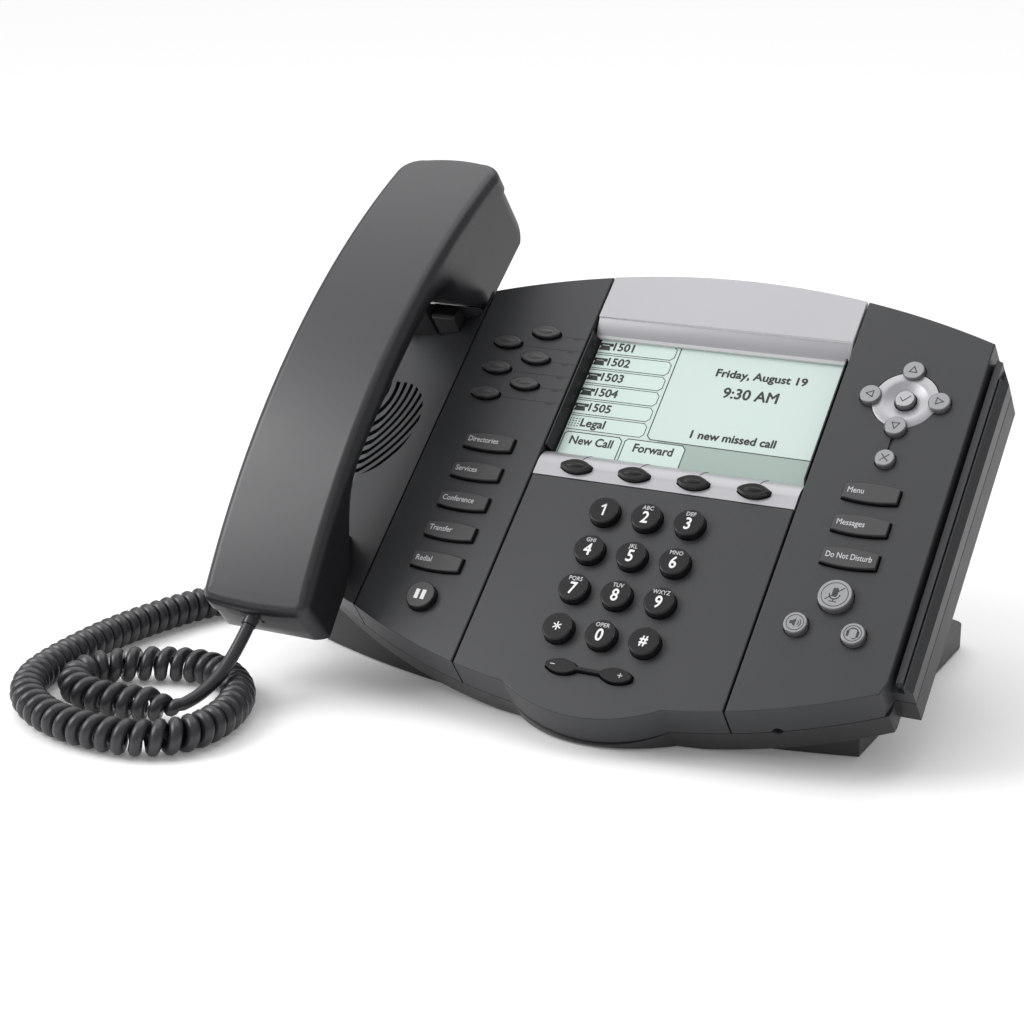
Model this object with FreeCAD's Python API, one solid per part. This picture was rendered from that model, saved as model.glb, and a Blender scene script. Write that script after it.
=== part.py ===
"""Desk IP phone: a tilted three-panel body on a wedge stand, with a corded handset in a side cradle.

The row frame has X to the right, Y to the back and Z up, with its origin on the desk under the middle of
the phone. The keys, panels and display are built in the face frame, where x runs along the keys, u up the
slope and n out of the face, and `on_face` sets them on the sloped body. All sizes are in millimetres.
"""
import FreeCAD
import Part
import os
from math import cos, pi, radians, sin, sqrt, tan
from FreeCAD import Placement, Rotation, Vector

# ---- the face frame -------------------------------------------------------------------------------------
FACE_X = 20.7             # place of the face point between the 4-5-6 keys' centre and the desk origin
FACE_Y = -35.1
FACE_Z = 60.9             # height of that point above the desk
FACE_TILT = 40.7          # slope of the face, degrees

# ---- body outline in the face frame ---------------------------------------------------------------------
FRONT_U = -63.5           # lowest point of the front edge's arc
FRONT_R = 262.0
REAR_U = 139.3            # highest point of the rear edge's arc
REAR_R = 334.0
CHIN_U = -70.6            # lowest point of the chin under the volume keys
CHIN_HALF = 33.0
FACE_RIGHT = 111.7        # right edge of the face
BODY_RIGHT = 119.5        # outer side of the right edge strip
BODY_LEFT = -160.0
CREASE_X = -108.1         # crease between the left panel and the cradle
SEAM_X = 56.2             # seams at both sides of the centre panel
SEAM_GAP = 0.7
CRADLE_SLOPE = 20.0       # fall of the cradle away from the crease, degrees
EDGE_START_U = -33.0      # right edge strip, front and rear ends
EDGE_END_U = 107.0

# ---- thicknesses and depths, measured down from the face ------------------------------------------------
PANEL_T = 2.5
SKIN_T = 2.2
PARTING_N = -14.4         # parting line between the panels' skirts and the lower housing
PARTING_GAP = 0.6
SHELL_N = -27.0           # underside of the lower housing
FLARE = 1.0               # how far the skirts lean out at the parting line
CHIN_FLARE = 2.0
DESK_GAP = 0.8            # the stand's underside above the desk, which is how thick the feet are
FLOOR_T = 2.2
RIM_N = PARTING_N - PARTING_GAP
GROOVE_N = -8.5           # floor of the groove between the face and the edge strip
RIB_X = FACE_RIGHT + 1.6

# ---- screws ---------------------------------------------------------------------------------------------
BOSS_N = SHELL_N + 6.0
BOSS_R = 3.2
SCREW_R = 1.5
SCREW_BITE = 8.0
SCREW_PLACES = [(-98.0, -20.0), (104.0, -27.0), (-98.0, 108.0), (101.0, 108.0)]

# ---- display --------------------------------------------------------------------------------------------
BAR_U0 = 32.2             # soft-key bar, front and rear edges
BAR_U1 = 46.8
BAR_DROP = 4.6
HOOD_U0 = 105.8           # display hood's front lip
HOOD_CURL_U = 120.8       # where the hood starts to curl down
HOOD_DROP = 5.0
LCD_N = -6.5              # surface of the display glass
LCD_T = 3.0
FRAME_T = 1.7
LCD_U0 = BAR_U1 - 2.0
LCD_U1 = HOOD_U0 + 5.0

# ---- cradle ---------------------------------------------------------------------------------------------
CRADLE_FLOOR_N = -12.0
CRADLE_T = 2.3
WELL_U0 = 109.0           # front end of the well that the receiver sits in
WELL_N = -8.6
RIDGE_U = 110.0           # ridge that the receiver's lower end lies against
RIDGE_N = -1.8
GRILLE_X = -143.7
GRILLE_U = 51.3
GRILLE_R = 25.0
GRILLE_LEFT = -155.5       # the slots stop here, short of the body's left edge
SPEAKER_X = -139.0
SPEAKER_R = 18.0
SLOT_W = 2.0
SLOT_PITCH = 4.2
HOOK_X = -124.0
HOOK_U = 104.0
HOOK_W = 11.0
HOOK_L = 7.0

# ---- keys -----------------------------------------------------------------------------------------------
KEY_GAP = 0.35
KEY_EDGE = 0.4            # bevel round a key's top
KEY_FLANGE = 0.8
FLANGE_T = 1.0
FLANGE_PLAY = 0.3
DIAL_PITCH = 18.0
DIAL_D = 12.2
DIAL_H = 3.6
LINE_PITCH = 13.5
LINE_W = 13.2
LINE_D = 6.0
FEATURE_W = 22.2
FEATURE_D = 8.6
FEATURE_PITCH = 14.75
SMALL_H = 2.0
NAV_X = 84.3
NAV_U = 88.5
NAV_R = 13.4
ARROW_D = 8.8
VOLUME_U = -51.3
VOLUME_HALF = 11.3
KEY_TRAVEL = 1.2          # stated again as the joints' ranges
VOLUME_PLAY = 1.4         # room over the volume key's flange, so that it can rock
VOLUME_TOP = 1.9

# ---- circuit board --------------------------------------------------------------------------------------
BOARD_N = -10.6
BOARD_T = 1.6
JACK_N0 = SHELL_N + 0.4
JACK_U = 78.0
# x of each jack, width, length, mouth width, mouth height: network, computer, headset, handset, power
JACKS = [(40.0, 16.0, 13.4, 11.8, 7.0), (20.0, 16.0, 13.4, 11.8, 7.0), (0.0, 13.0, 13.4, 7.7, 6.5),
         (-17.0, 13.0, 13.4, 7.7, 6.5), (-36.0, 11.0, 12.0, 7.0, 7.0)]
MAT_TOP_N = -(PANEL_T + FLANGE_PLAY + FLANGE_T + KEY_TRAVEL + 0.6)

# ---- handset --------------------------------------------------------------------------------------------
HANDSET_X = -136.0
HANDSET_W = 50.0
HANDSET_EDGE_R = 4.8
SHELL_GAP = 0.35
INNER_INSET = 0.7
HANDSET_WALL = 2.2
OUTER_ARC = ((171.0, 29.1), (70.0, 46.5), (-63.0, 23.0))
PARTING_ARC = ((170.0, 16.6), (60.0, 40.5), (-63.5, 15.0))
TOP_R = 11.0              # corners of the handset's two ends, seen from its outer side
LOW_R = 6.0
EAR_U0 = 97.0             # receiver block, from the handle's underside to its flat face
EAR_U1 = 115.6
EAR_N = -6.8
HANDLE_N = 29.4           # underside of the handle at its middle
MOUTH_N = 2.4             # flat face of the mouthpiece block
REST_N = 11.0             # top of the cradle's two rests

# ---- stand, in the row frame ----------------------------------------------------------------------------
STAND_LEFT = -126.3
STAND_RIGHT = 117.7
STAND_FRONT = -57.9       # front edge's arc where it is furthest forward
STAND_FRONT_R = 350.0
STAND_REAR = 96.0
STAND_CORNER_R = 11.0
STAND_WALL = 3.0
FOOT_H = 9.6              # height of the foot at its rear edge
SLAB_H = 15.8
SLAB_Y = 55.0             # where the foot's top has risen to SLAB_H
LEG_TOP_Y = 31.0
LEG_RIGHT_W = 40.0
LEG_LEFT_W = 46.0
PAD_R = 7.0
PAD_PLACES = [(STAND_LEFT + 14, -22.0), (STAND_RIGHT - 14, -36.0),
              (STAND_LEFT + 14, STAND_REAR - 14), (STAND_RIGHT - 14, STAND_REAR - 14)]
SOCKET_Y = 7.0            # place of the cord's socket in the stand's left wall
SOCKET_Z = 8.0

# ---- cord -----------------------------------------------------------------------------------------------
COIL_D = 14.5
LEAD_D = 5.0
PLUG_W = 7.6
PLUG_H = 6.4
PLUG_L = 12.0
PLUG_X = HANDSET_X - 2.0
PLUG_N = 16.5
BOOT_L = 3.5
HAND_END_U = -62.6
COIL_Z = 7.3
LEAD_ROUTE = [(-117.3, -96.2, 30.11), (-117.3, -107.65, 20.27), (-119.9, -121.0, 11.6),
              (-125.4, -133.85, COIL_Z), (-137.4, -135.8, COIL_Z)]
COIL_ROUTE = [(-137.4, -135.8), (-149.2, -137.72), (-162.6, -138.4), (-174.6, -134.2), (-181.6, -123.4),
              (-179.8, -112.2), (-170.5, -102.8), (-157.5, -95.6), (-142.5, -91.6), (-127.8, -95.8),
              (-114.6, -107.4), (-106.8, -123.4), (-104.4, -140.6), (-108.6, -156.4), (-121.8, -165.6),
              (-138.6, -167.4), (-156.0, -165.6), (-172.4, -159.4), (-186.4, -149.2), (-195.6, -134.8),
              (-199.0, -117.6), (-199.8, -99.6), (-199.6, -81.6), (-197.4, -64.0), (-193.6, -46.8),
              (-188.6, -30.0), (-180.6, -14.6), (-169.4, -2.4), (-154.0, SOCKET_Y), (-137.3, SOCKET_Y)]

os.makedirs("parts", exist_ok=True)
nodes = {}


def on_face(shape):
    """Set a shape built in the face frame on the sloped body."""
    placed = shape.copy()
    tilt = Rotation(Vector(1, 0, 0), FACE_TILT)
    placed.Placement = Placement(Vector(FACE_X, FACE_Y, FACE_Z), tilt).multiply(shape.Placement)
    return placed


def front_u(x, grow=0.0):
    """Front edge of the body at x, moved out by grow."""
    return FRONT_U - grow + FRONT_R - sqrt(FRONT_R ** 2 - x ** 2)


def rear_u(x, grow=0.0):
    """Rear edge of the body at x, moved out by grow."""
    return REAR_U + grow - REAR_R + sqrt(REAR_R ** 2 - x ** 2)


def line(start, end):
    """Straight edge between two points."""
    return Part.LineSegment(start, end).toShape()


def arc(start, middle, end):
    """Arc edge through three points."""
    return Part.Arc(start, middle, end).toShape()


def edge_arc(curve, x0, x1, n, grow):
    """Arc along the body's front or rear edge."""
    points = [Vector(x, curve(x, grow), n) for x in (x0, (x0 + x1) / 2, x1)]
    return arc(*points)


def band(x0, x1, n, grow=0.0):
    """Outline of the body between two x places, with its front and rear arcs."""
    front = edge_arc(front_u, x0, x1, n, grow)
    right = line(Vector(x1, front_u(x1, grow), n), Vector(x1, rear_u(x1, grow), n))
    rear = edge_arc(rear_u, x1, x0, n, grow)
    left = line(Vector(x0, rear_u(x0, grow), n), Vector(x0, front_u(x0, grow), n))
    return Part.Wire([front, right, rear, left])


def chin_band(half, n, grow=0.0, chin_grow=0.0, rear=BAR_U0):
    """Outline of the centre panel, with the round chin in its front edge."""
    front_x = CHIN_HALF
    bottom = Vector(0, CHIN_U - chin_grow, n)
    corner = Vector(front_x, front_u(front_x, grow), n)
    mirrored = Vector(-front_x, front_u(front_x, grow), n)
    edges = [
        edge_arc(front_u, -half, -front_x, n, grow),
        arc(mirrored, bottom, corner),
        edge_arc(front_u, front_x, half, n, grow),
        line(Vector(half, front_u(half, grow), n), Vector(half, rear, n)),
        line(Vector(half, rear, n), Vector(-half, rear, n)),
        line(Vector(-half, rear, n), Vector(-half, front_u(half, grow), n)),
    ]
    return Part.Wire(edges)


def between(low, high):
    """Closed solid between two outlines of the same kind."""
    return Part.makeLoft([low, high], True, True)


def prism(wire, height):
    """Solid over an outline, along n."""
    return Part.Face(wire).extrude(Vector(0, 0, height))


def polygon(points, n=0.0):
    """Closed outline through (x, u) points."""
    corners = [Vector(x, u, n) for x, u in points]
    return Part.makePolygon(corners + corners[:1])


def box(x0, u0, n0, x1, u1, n1):
    """Box between two corners."""
    return Part.makeBox(x1 - x0, u1 - u0, n1 - n0, Vector(x0, u0, n0))


def side_wire(points):
    """Closed outline in the side view, from straight points (u, n) and (middle, end) pairs for arcs."""
    edges = []
    here = Vector(0, *points[0])
    first = here
    for step in points[1:]:
        if isinstance(step[0], tuple):
            middle = Vector(0, *step[0])
            end = Vector(0, *step[1])
            edges.append(arc(here, middle, end))
        else:
            end = Vector(0, *step)
            edges.append(line(here, end))
        here = end
    if here.distanceToPoint(first) > 1e-6:
        edges.append(line(here, first))
    return Part.Wire(edges)


def side_prism(points, x0, x1):
    """Solid of a side-view outline between two x places."""
    body = Part.Face(side_wire(points)).extrude(Vector(x1 - x0, 0, 0))
    body.translate(Vector(x0, 0, 0))
    return body


def cylinder(x, u, n0, n1, radius):
    """Cylinder along n."""
    return Part.makeCylinder(radius, n1 - n0, Vector(x, u, n0))


def fuse(shapes):
    """One solid out of overlapping ones."""
    return shapes[0].multiFuse(shapes[1:]).removeSplitter()


def round_edges(shape, radius, wanted):
    """Fillet the edges whose middle point and direction satisfy `wanted`."""
    picked = []
    for edge in shape.Edges:
        middle = edge.valueAt((edge.FirstParameter + edge.LastParameter) / 2)
        if wanted(edge, middle):
            picked.append(edge)
    return shape.makeFillet(radius, picked)


def at_height(n, tolerance=1e-4):
    """Test for edges that lie wholly at height n."""
    def test(edge, middle):
        return abs(edge.BoundBox.ZMax - n) < tolerance and abs(edge.BoundBox.ZMin - n) < tolerance
    return test


# ---- key outlines ---------------------------------------------------------------------------------------
def round_outline(x, u, size, grow, n):
    """Circle of a round key."""
    circle = Part.makeCircle(size[0] / 2 + grow, Vector(x, u, n))
    return Part.Wire([circle])


def lens_outline(x, u, size, grow, n):
    """Pointed oval of two arcs, with its tips cut square so that it has a real width."""
    half = size[0] / 2 + grow
    depth = size[1] / 2 + grow
    tip = 0.6 + grow
    edges = [
        arc(Vector(x - half, u - tip, n), Vector(x, u - depth, n), Vector(x + half, u - tip, n)),
        line(Vector(x + half, u - tip, n), Vector(x + half, u + tip, n)),
        arc(Vector(x + half, u + tip, n), Vector(x, u + depth, n), Vector(x - half, u + tip, n)),
        line(Vector(x - half, u + tip, n), Vector(x - half, u - tip, n)),
    ]
    return Part.Wire(edges)


def barrel_outline(x, u, size, grow, n):
    """Feature key: straight ends, bowed front and rear edges."""
    half = size[0] / 2 + grow
    end = size[1] / 2 - 1.1 + grow
    middle = size[1] / 2 + grow
    edges = [
        arc(Vector(x - half, u - end, n), Vector(x, u - middle, n), Vector(x + half, u - end, n)),
        line(Vector(x + half, u - end, n), Vector(x + half, u + end, n)),
        arc(Vector(x + half, u + end, n), Vector(x, u + middle, n), Vector(x - half, u + end, n)),
        line(Vector(x - half, u + end, n), Vector(x - half, u - end, n)),
    ]
    return Part.Wire(edges)


class Key:
    """A key: its outline, its place, its height over the face and the depth of the panel around it."""

    def __init__(self, name, outline, x, u, size, height, depth=PANEL_T):
        self.name = name
        self.outline = outline
        self.x = x
        self.u = u
        self.size = size
        self.height = height
        self.depth = depth

    def wire(self, grow, n):
        return self.outline(self.x, self.u, self.size, grow, n)

    def solid(self):
        """Cap through the panel, with a flange under it that keeps the key in."""
        top_of_flange = -self.depth - FLANGE_PLAY
        shoulder = self.height - KEY_EDGE
        cap = prism(self.wire(0, top_of_flange), shoulder - top_of_flange)
        edge = between(self.wire(0, shoulder), self.wire(-KEY_EDGE, self.height))
        flange = prism(self.wire(KEY_FLANGE, top_of_flange - FLANGE_T), FLANGE_T)
        return fuse([cap, edge, flange])

    def hole(self):
        """The key's hole, right through any panel."""
        return prism(self.wire(KEY_GAP, -2 * self.depth - 4), 4 * self.depth + 12)


DIAL_NAMES = ["1", "2", "3", "4", "5", "6", "7", "8", "9", "star", "0", "pound"]
dial_keys = []
for index, name in enumerate(DIAL_NAMES):
    column = index % 3 - 1
    row = 1 - index // 3
    place = (column * DIAL_PITCH, row * DIAL_PITCH)
    dial_keys.append(Key("dial_key_" + name, round_outline, *place, (DIAL_D,), DIAL_H))

line_keys = []
for index in range(6):
    column_x = (-75.6, -91.2)[index % 2]
    key_u = 101.3 - 3.4 * 2 * (index % 2) - LINE_PITCH * (index // 2)
    line_keys.append(Key("line_key_%d" % (index + 1), lens_outline, column_x, key_u, (LINE_W, LINE_D), SMALL_H))

LEFT_FEATURES = ["directories", "services", "conference", "transfer", "redial"]
left_feature_keys = []
for index, name in enumerate(LEFT_FEATURES):
    key_u = 43.3 - FEATURE_PITCH * index
    size = (FEATURE_W, FEATURE_D)
    left_feature_keys.append(Key("key_" + name, barrel_outline, -79.8, key_u, size, 1.8))
hold_key = Key("key_hold", round_outline, -79.8, -32.2, (12.2,), 3.0)

soft_keys = []
for index in range(4):
    key_x = -38.1 + 25.35 * index
    soft_keys.append(Key("soft_key_%d" % (index + 1), lens_outline, key_x, 37.6, (13.4, 6.4), SMALL_H, 3.4))

ARROWS = {"up": (0, 1), "left": (-1, 0), "right": (1, 0), "down": (0, -1)}
nav_keys = []
for name, (side, rise) in ARROWS.items():
    place = (NAV_X + side * 13.8, NAV_U + rise * 13.4)
    nav_keys.append(Key("key_arrow_" + name, round_outline, *place, (ARROW_D,), 2.2))
nav_keys.append(Key("key_select", round_outline, NAV_X, NAV_U, (8.0,), 1.4))
nav_keys.append(Key("key_delete", round_outline, NAV_X, 59.8, (8.0,), 2.2))

RIGHT_FEATURES = ["menu", "messages", "do_not_disturb"]
right_feature_keys = []
for index, name in enumerate(RIGHT_FEATURES):
    key_u = 43.3 - FEATURE_PITCH * index
    right_feature_keys.append(Key("key_" + name, barrel_outline, 83.6, key_u, (FEATURE_W, FEATURE_D), 1.8))
audio_keys = [
    Key("key_mute", round_outline, 83.2, -3.2, (13.4,), 2.8),
    Key("key_speaker", round_outline, 71.9, -17.2, (9.4,), 2.4),
    Key("key_headset", round_outline, 94.3, -17.9, (9.4,), 2.4),
]


def cut_holes(panel, keys):
    """Panel with its keys' holes."""
    for key in keys:
        panel = panel.cut(key.hole())
    return panel


# ---- face panels ----------------------------------------------------------------------------------------
board_room = box(-100.6, -40.6, PARTING_N - 1, 100.6, 104.6, BOARD_N + 0.7)


def shell_band(x0, x1):
    """Side panel: a plate with a leaning skirt at the front and rear, and straight ribs along its seams."""
    solid = between(band(x0, x1, PARTING_N, FLARE), band(x0, x1, 0))
    inside = prism(band(x0 + SKIN_T, x1 - SKIN_T, PARTING_N - 1, -SKIN_T), -PARTING_N + 1 - PANEL_T)
    return solid.cut(inside).cut(board_room)


def screw_boss(x, u):
    """Boss under a panel that a housing screw goes into."""
    post = cylinder(x, u, BOSS_N, -PANEL_T + 0.1, BOSS_R)
    return post.cut(cylinder(x, u, BOSS_N - 1, BOSS_N + SCREW_BITE + 1, SCREW_R + 0.05))


half_gap = SEAM_GAP / 2
left_x0 = CREASE_X + half_gap
left_panel = shell_band(left_x0, -SEAM_X - half_gap)
left_panel = round_edges(left_panel, 0.6, at_height(0))
left_panel = fuse([left_panel] + [screw_boss(x, u) for x, u in SCREW_PLACES if x < 0])
left_panel = cut_holes(left_panel, line_keys + left_feature_keys + [hold_key])
for key in line_keys:
    groove_u = key.u - 0.6
    left_panel = left_panel.cut(box(key.x + LINE_W / 2 + 1, groove_u, -0.25, -SEAM_X, groove_u + 0.3, 1))

right_face = shell_band(SEAM_X + half_gap, FACE_RIGHT)
corner_cut = polygon([(FACE_RIGHT - 2.2, -80), (FACE_RIGHT - 2.2, -41.5), (FACE_RIGHT + 0.1, -33.5),
                      (FACE_RIGHT + 20, -33.5), (FACE_RIGHT + 20, -80)], -40)
right_face = right_face.cut(prism(corner_cut, 80))
right_face = round_edges(right_face, 0.6, at_height(0))
edge_outline = polygon([(FACE_RIGHT - SKIN_T, EDGE_START_U), (BODY_RIGHT, EDGE_START_U),
                        (BODY_RIGHT, EDGE_END_U), (FACE_RIGHT + 3.5, EDGE_END_U + 8.5),
                        (FACE_RIGHT - SKIN_T, EDGE_END_U + 10)], PARTING_N)
edge_strip = prism(edge_outline, GROOVE_N - PARTING_N)
rib_outline = polygon([(RIB_X, EDGE_START_U + 1.5), (RIB_X + 2.6, EDGE_START_U + 1.5),
                       (RIB_X + 2.6, EDGE_END_U + 7), (RIB_X, EDGE_END_U + 8)], GROOVE_N - 0.5)
rib = prism(rib_outline, -3.6 - GROOVE_N + 0.5)
wall_outline = Part.makePolygon([Vector(RIB_X + 3.0, 0, GROOVE_N - 0.5), Vector(BODY_RIGHT, 0, GROOVE_N - 0.5),
                                 Vector(BODY_RIGHT, 0, -7.6), Vector(RIB_X + 3.6, 0, -4.6),
                                 Vector(RIB_X + 3.0, 0, -4.6), Vector(RIB_X + 3.0, 0, GROOVE_N - 0.5)])
edge_wall = Part.Face(wall_outline).extrude(Vector(0, EDGE_END_U - EDGE_START_U, 0))
edge_wall.translate(Vector(0, EDGE_START_U, 0))
strip_inside = box(FACE_RIGHT - SKIN_T - 1, EDGE_START_U + SKIN_T, PARTING_N - 1,
                   BODY_RIGHT - SKIN_T, EDGE_END_U - SKIN_T, GROOVE_N - SKIN_T)
edge_strip = fuse([edge_strip, rib, edge_wall]).cut(strip_inside)
right_panel = fuse([right_face, edge_strip] + [screw_boss(x, u) for x, u in SCREW_PLACES if x > 0])
right_panel = right_panel.cut(cylinder(NAV_X, NAV_U, -1.2, 2, NAV_R))
right_panel = cut_holes(right_panel, nav_keys + right_feature_keys + audio_keys)
right_panel = right_panel.cut(box(NAV_X - 0.7, 63.4, -0.8, NAV_X + 0.7, 72.2, 1))
microphone_hole = Part.makeCylinder(2.0, 14, Vector(73.0, -66, PARTING_N), Vector(0, 1, 0))
right_panel = right_panel.cut(microphone_hole)

centre_half = SEAM_X - half_gap
centre_outer = between(chin_band(centre_half, PARTING_N, FLARE, CHIN_FLARE), chin_band(centre_half, 0))
centre_inner = prism(chin_band(centre_half - SKIN_T, PARTING_N - 1, -SKIN_T, -SKIN_T, BAR_U0 - SKIN_T),
                     -PARTING_N + 1 - PANEL_T)
centre_plate = centre_outer.cut(centre_inner).cut(board_room)
centre_plate = round_edges(centre_plate, 0.6, at_height(0))


def volume_outline(grow, n):
    """Two pointed ovals joined by a thin bridge."""
    ovals = []
    for side in (-1, 1):
        ovals.append(Part.Face(lens_outline(side * VOLUME_HALF, VOLUME_U, (13.0, 6.2), grow, n)))
    bridge = Part.Face(polygon([(-VOLUME_HALF, VOLUME_U - 0.7 - grow), (VOLUME_HALF, VOLUME_U - 0.7 - grow),
                                (VOLUME_HALF, VOLUME_U + 0.7 + grow), (-VOLUME_HALF, VOLUME_U + 0.7 + grow)], n))
    return ovals[0].multiFuse([ovals[1], bridge]).removeSplitter()


centre_plate = cut_holes(centre_plate, dial_keys)
centre_plate = centre_plate.cut(volume_outline(KEY_GAP + 0.15, -8).extrude(Vector(0, 0, 12)))
frame_n0 = LCD_N - LCD_T
frame_inner = centre_half - FRAME_T
WALL_CORNERS = [(centre_half, -0.2), (centre_half, frame_n0), (frame_inner, frame_n0),
                (frame_inner, LCD_N + 1.2), (centre_half - 0.5, -0.2), (centre_half, -0.2)]
rails = []
for side in (-1, 1):
    x0, x1 = sorted((side * frame_inner, side * centre_half))
    rails.append(box(x0, BAR_U0 - SKIN_T, frame_n0, x1, LCD_U1 + FRAME_T, LCD_N - 0.1))
    wall = Part.makePolygon([Vector(side * x, 0, n) for x, n in WALL_CORNERS])
    wall = Part.Face(wall).extrude(Vector(0, HOOD_U0 - BAR_U1 - 0.6, 0))
    wall.translate(Vector(0, BAR_U1 + 0.3, 0))
    rails.append(wall)
rails.append(box(-centre_half, LCD_U1, frame_n0, centre_half, LCD_U1 + FRAME_T, LCD_N - 0.1))
rails.append(box(-centre_half, BAR_U0 - SKIN_T, frame_n0, centre_half, BAR_U0, -PANEL_T + 0.5))
centre_panel = fuse([centre_plate] + rails)

# ---- soft-key bar, hood and display ---------------------------------------------------------------------
bar_rear = BAR_U1 - 0.15
softkey_bar = side_prism([(BAR_U0 + 0.2, 0), (37.0, 0), ((43.0, -1.25), (bar_rear, -BAR_DROP)),
                          (bar_rear, LCD_N + 0.1), (bar_rear - 1.6, LCD_N + 0.1), (bar_rear - 1.6, -4.9),
                          ((42.0, -2.9), (37.0, -1.8)), (BAR_U0 + 0.2, -1.8)], -centre_half, centre_half)
softkey_bar = cut_holes(softkey_bar, soft_keys)

hood_block = between(band(-centre_half, centre_half, PARTING_N, FLARE), band(-centre_half, centre_half, 0))
hood_cavity = prism(band(-centre_half + 1.8, centre_half - 1.8, PARTING_N - 1, -SKIN_T), -PARTING_N + 1 - 1.8)
hood_curl = [(HOOD_CURL_U, 0), ((HOOD_U0 + 5.5, -1.5), (HOOD_U0, -HOOD_DROP)),
             (HOOD_U0, LCD_N + 0.3), (HOOD_U0 + 1.4, LCD_N + 0.3), (HOOD_U0 + 1.4, -HOOD_DROP),
             ((HOOD_U0 + 6.0, -3.1), (HOOD_CURL_U, -1.8)), (REAR_U + 20, -1.8), (REAR_U + 20, 0)]
hood_roof = hood_block.common(side_prism(hood_curl, -centre_half, centre_half))
hood_skirt = hood_block.cut(hood_cavity)
hood_skirt = hood_skirt.common(box(-100, LCD_U1 + FRAME_T + 1, PARTING_N - 1, 100, REAR_U + 20, 1))
display_hood = fuse([hood_roof, hood_skirt])

display_module = box(-frame_inner + 0.2, LCD_U0, frame_n0, frame_inner - 0.2, LCD_U1 - 0.2, LCD_N)

# ---- cradle panel and hook ------------------------------------------------------------------------------
cradle_x1 = CREASE_X - half_gap
floor_x = CREASE_X + CRADLE_FLOOR_N / tan(radians(CRADLE_SLOPE))


def cradle_cut(drop, x1, left):
    """Everything over the cradle's surface, which slopes down from the crease and then runs level."""
    corners = [(x1, 30), (x1, -drop), (floor_x, CRADLE_FLOOR_N - drop), (left, CRADLE_FLOOR_N - drop), (left, 30)]
    outline = Part.makePolygon([Vector(x, -200, n) for x, n in corners + corners[:1]])
    return Part.Face(outline).extrude(Vector(0, 400, 0))


cradle_block = between(band(BODY_LEFT, cradle_x1, PARTING_N, FLARE), band(BODY_LEFT, cradle_x1, 0))
cradle_block = cradle_block.cut(cradle_cut(0, CREASE_X, BODY_LEFT - 9))
under_plate = prism(band(BODY_LEFT + SKIN_T, cradle_x1 - SKIN_T, PARTING_N - 1, -SKIN_T), 30)
under_plate = under_plate.cut(cradle_cut(CRADLE_T, CREASE_X, BODY_LEFT - 9))
well_floor = box(floor_x, WELL_U0 - CRADLE_T, WELL_N - CRADLE_T, cradle_x1 - 1.0, 200, 30)
under_plate = under_plate.cut(well_floor)
cradle_block = cradle_block.cut(under_plate)
well = box(floor_x - 10, WELL_U0, WELL_N, cradle_x1 - 1.2, 200, 30)
cradle_block = cradle_block.cut(well)
rest_wire = [(-24.0, CRADLE_FLOOR_N - 0.5), (-24.0, REST_N), (-16.0, REST_N + 6.0), (-4.0, CRADLE_FLOOR_N - 0.5)]
rests = [side_prism(rest_wire, x - 3, x + 3) for x in (HANDSET_X - 12, HANDSET_X + 6)]
body_limit = prism(band(BODY_LEFT, cradle_x1, PARTING_N, 0), 60)
ridge = box(floor_x - 10, RIDGE_U, CRADLE_FLOOR_N - 1, cradle_x1 - 1.0, RIDGE_U + 1.8, RIDGE_N)
raised = [solid.common(body_limit) for solid in rests + [ridge]]
cradle_panel = fuse([cradle_block] + raised)
disc = cylinder(GRILLE_X, GRILLE_U, -40, 40, GRILLE_R).common(box(GRILLE_LEFT, -200, -41, 0, 200, 41))
slots = []
for index in range(11):
    radius = 9.0 + SLOT_PITCH * index
    ring = cylinder(GRILLE_X - 20, GRILLE_U + 20, -40, 40, radius + SLOT_W)
    ring = ring.cut(cylinder(GRILLE_X - 20, GRILLE_U + 20, -41, 41, radius))
    slots.append(ring.common(disc))
for slot in slots:
    cradle_panel = cradle_panel.cut(slot)
hook_half = HOOK_W / 2
hook_front = HOOK_U - HOOK_L / 2
hook_rear = HOOK_U + HOOK_L / 2
hook_hole = box(HOOK_X - hook_half - 0.4, hook_front - 0.4, -40, HOOK_X + hook_half + 0.4, hook_rear + 0.4, 40)
cradle_panel = cradle_panel.cut(hook_hole)
hook_side = [(hook_front, -19.0), (hook_rear, -19.0), (hook_rear, 3.4), (hook_front + 1.5, 5.2), (hook_front, 4.2)]
hook_stem = side_prism(hook_side, HOOK_X - hook_half, HOOK_X + hook_half)
hook_foot = box(HOOK_X - hook_half - 1.4, hook_front - 1.4, -19.0, HOOK_X + hook_half + 1.4, hook_rear + 1.4, -17.8)
hook_plunger = fuse([hook_stem, hook_foot])

# ---- lower housing --------------------------------------------------------------------------------------
housing_right = polygon([(FACE_RIGHT - 10, EDGE_START_U), (BODY_RIGHT, EDGE_START_U), (BODY_RIGHT, EDGE_END_U),
                         (FACE_RIGHT + 3.5, EDGE_END_U + 8.5), (FACE_RIGHT - 10, EDGE_END_U + 12)], SHELL_N)
depth = RIM_N - SHELL_N
housing = prism(band(BODY_LEFT, FACE_RIGHT, SHELL_N, FLARE), depth)
chin = prism(chin_band(SEAM_X, SHELL_N, FLARE, CHIN_FLARE + 1), depth)
front_cut = prism(polygon([(FACE_RIGHT - 1.5, -80), (FACE_RIGHT - 1.5, -43.5), (FACE_RIGHT + 1, -34),
                           (FACE_RIGHT + 20, -34), (FACE_RIGHT + 20, -80)], SHELL_N - 1), depth + 2)
housing = fuse([housing, chin]).cut(front_cut)
housing = fuse([housing, prism(housing_right, depth)])
inside = prism(band(BODY_LEFT + SKIN_T, FACE_RIGHT - SKIN_T, SHELL_N + FLOOR_T, FLARE - SKIN_T), depth)
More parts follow.
